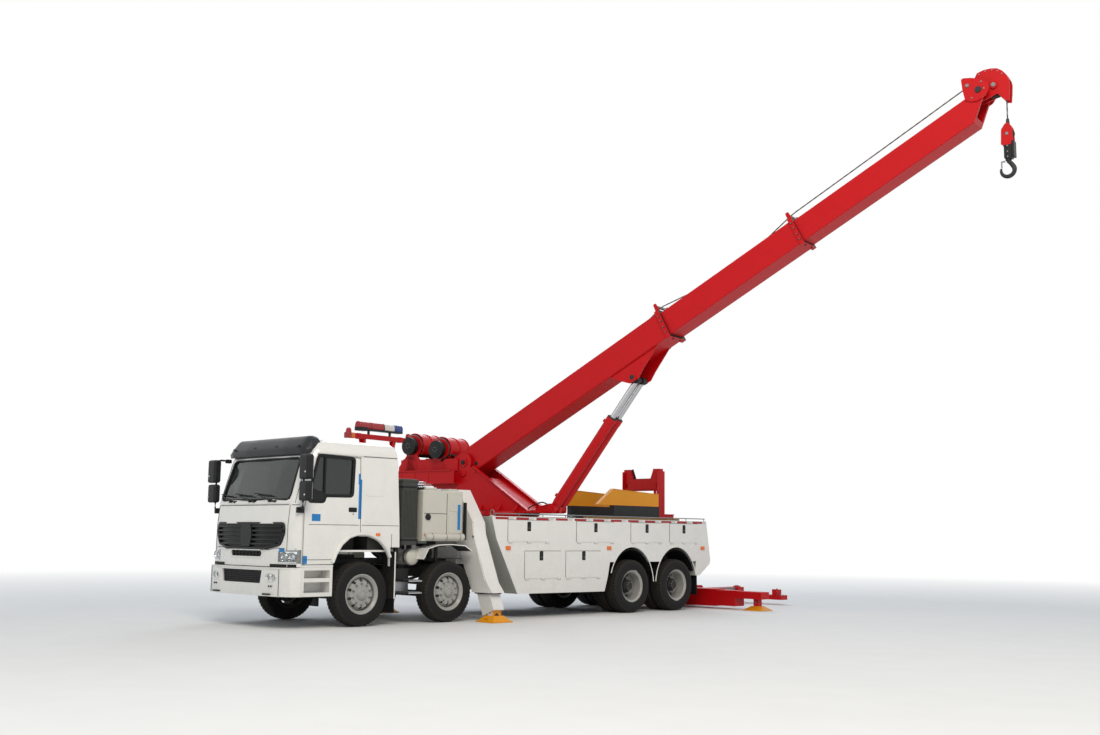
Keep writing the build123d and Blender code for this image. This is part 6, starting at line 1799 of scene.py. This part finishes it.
class TRUCK_OT_cabinet(bpy.types.Operator):
    """Steps, guards, air reservoir, tank cabinet and air cleaner behind the cab"""
    bl_idname = "truck.cabinet"
    bl_label = "Tank Cabinet"

    def execute(self, context):
        paints(context)
        make_steps_and_guards()
        make_cabinet()
        return {"FINISHED"}


class TRUCK_OT_body(bpy.types.Operator):
    """Recovery body with lockers, flaps, latches, tapes, deck and boom rest"""
    bl_idname = "truck.body"
    bl_label = "Recovery Body"

    def execute(self, context):
        paints(context)
        make_body()
        make_cradle()
        return {"FINISHED"}


class TRUCK_OT_turntable(bpy.types.Operator):
    """Turntable, tail tray, winches and beacon bar"""
    bl_idname = "truck.turntable"
    bl_label = "Turntable and Winches"

    def execute(self, context):
        paints(context)
        make_turntable()
        make_winches(context.scene.truck_sizes)
        make_light_bar()
        return {"FINISHED"}


class TRUCK_OT_boom(bpy.types.Operator):
    """Three boom stages, ropes, hook block and lift cylinders"""
    bl_idname = "truck.boom"
    bl_label = "Boom"

    def execute(self, context):
        paints(context)
        make_boom(context.scene.truck_sizes)
        make_hook(context.scene.truck_sizes)
        make_lift()
        return {"FINISHED"}


class TRUCK_OT_outriggers(bpy.types.Operator):
    """Front legs, rear stabilisers and underlift"""
    bl_idname = "truck.outriggers"
    bl_label = "Outriggers and Underlift"

    def execute(self, context):
        paints(context)
        make_legs()
        make_underlift()
        return {"FINISHED"}


class TRUCK_OT_stage(bpy.types.Operator):
    """Pale floor, soft lamps and the camera"""
    bl_idname = "truck.stage"
    bl_label = "Stage"

    def execute(self, context):
        paints(context)
        make_stage()
        make_camera()
        return {"FINISHED"}


OPERATORS = (TRUCK_OT_wheels, TRUCK_OT_chassis, TRUCK_OT_cab, TRUCK_OT_cabinet, TRUCK_OT_body,
             TRUCK_OT_turntable, TRUCK_OT_boom, TRUCK_OT_outriggers, TRUCK_OT_stage)


class TRUCK_PT_sidebar(bpy.types.Panel):
    """Lists the pieces of the lorry"""
    bl_idname = "TRUCK_PT_sidebar"
    bl_label = "Recovery Truck"
    bl_space_type = "VIEW_3D"
    bl_region_type = "UI"
    bl_category = "Recovery Truck"

    def draw(self, context):
        layout = self.layout
        for group in (context.scene.truck_colours, context.scene.truck_sizes):
            for key in group.bl_rna.properties.keys():
                if key not in ("rna_type", "name"):
                    layout.prop(group, key)
        for operator in OPERATORS:
            layout.operator(operator.bl_idname)


CLASSES = (TruckColours, TruckSizes) + OPERATORS + (TRUCK_PT_sidebar,)


def register():
    for cls in CLASSES:
        bpy.utils.register_class(cls)
    bpy.types.Scene.truck_colours = PointerProperty(type=TruckColours)
    bpy.types.Scene.truck_sizes = PointerProperty(type=TruckSizes)


def unregister():
    del bpy.types.Scene.truck_sizes
    del bpy.types.Scene.truck_colours
    for cls in reversed(CLASSES):
        bpy.utils.unregister_class(cls)


def main():
    register()
    bpy.ops.truck.wheels()
    bpy.ops.truck.chassis()
    bpy.ops.truck.cab()
    bpy.ops.truck.cabinet()
    bpy.ops.truck.body()
    bpy.ops.truck.turntable()
    bpy.ops.truck.boom()
    bpy.ops.truck.outriggers()
    bpy.ops.truck.stage()


if __name__ == "__main__":
    main()
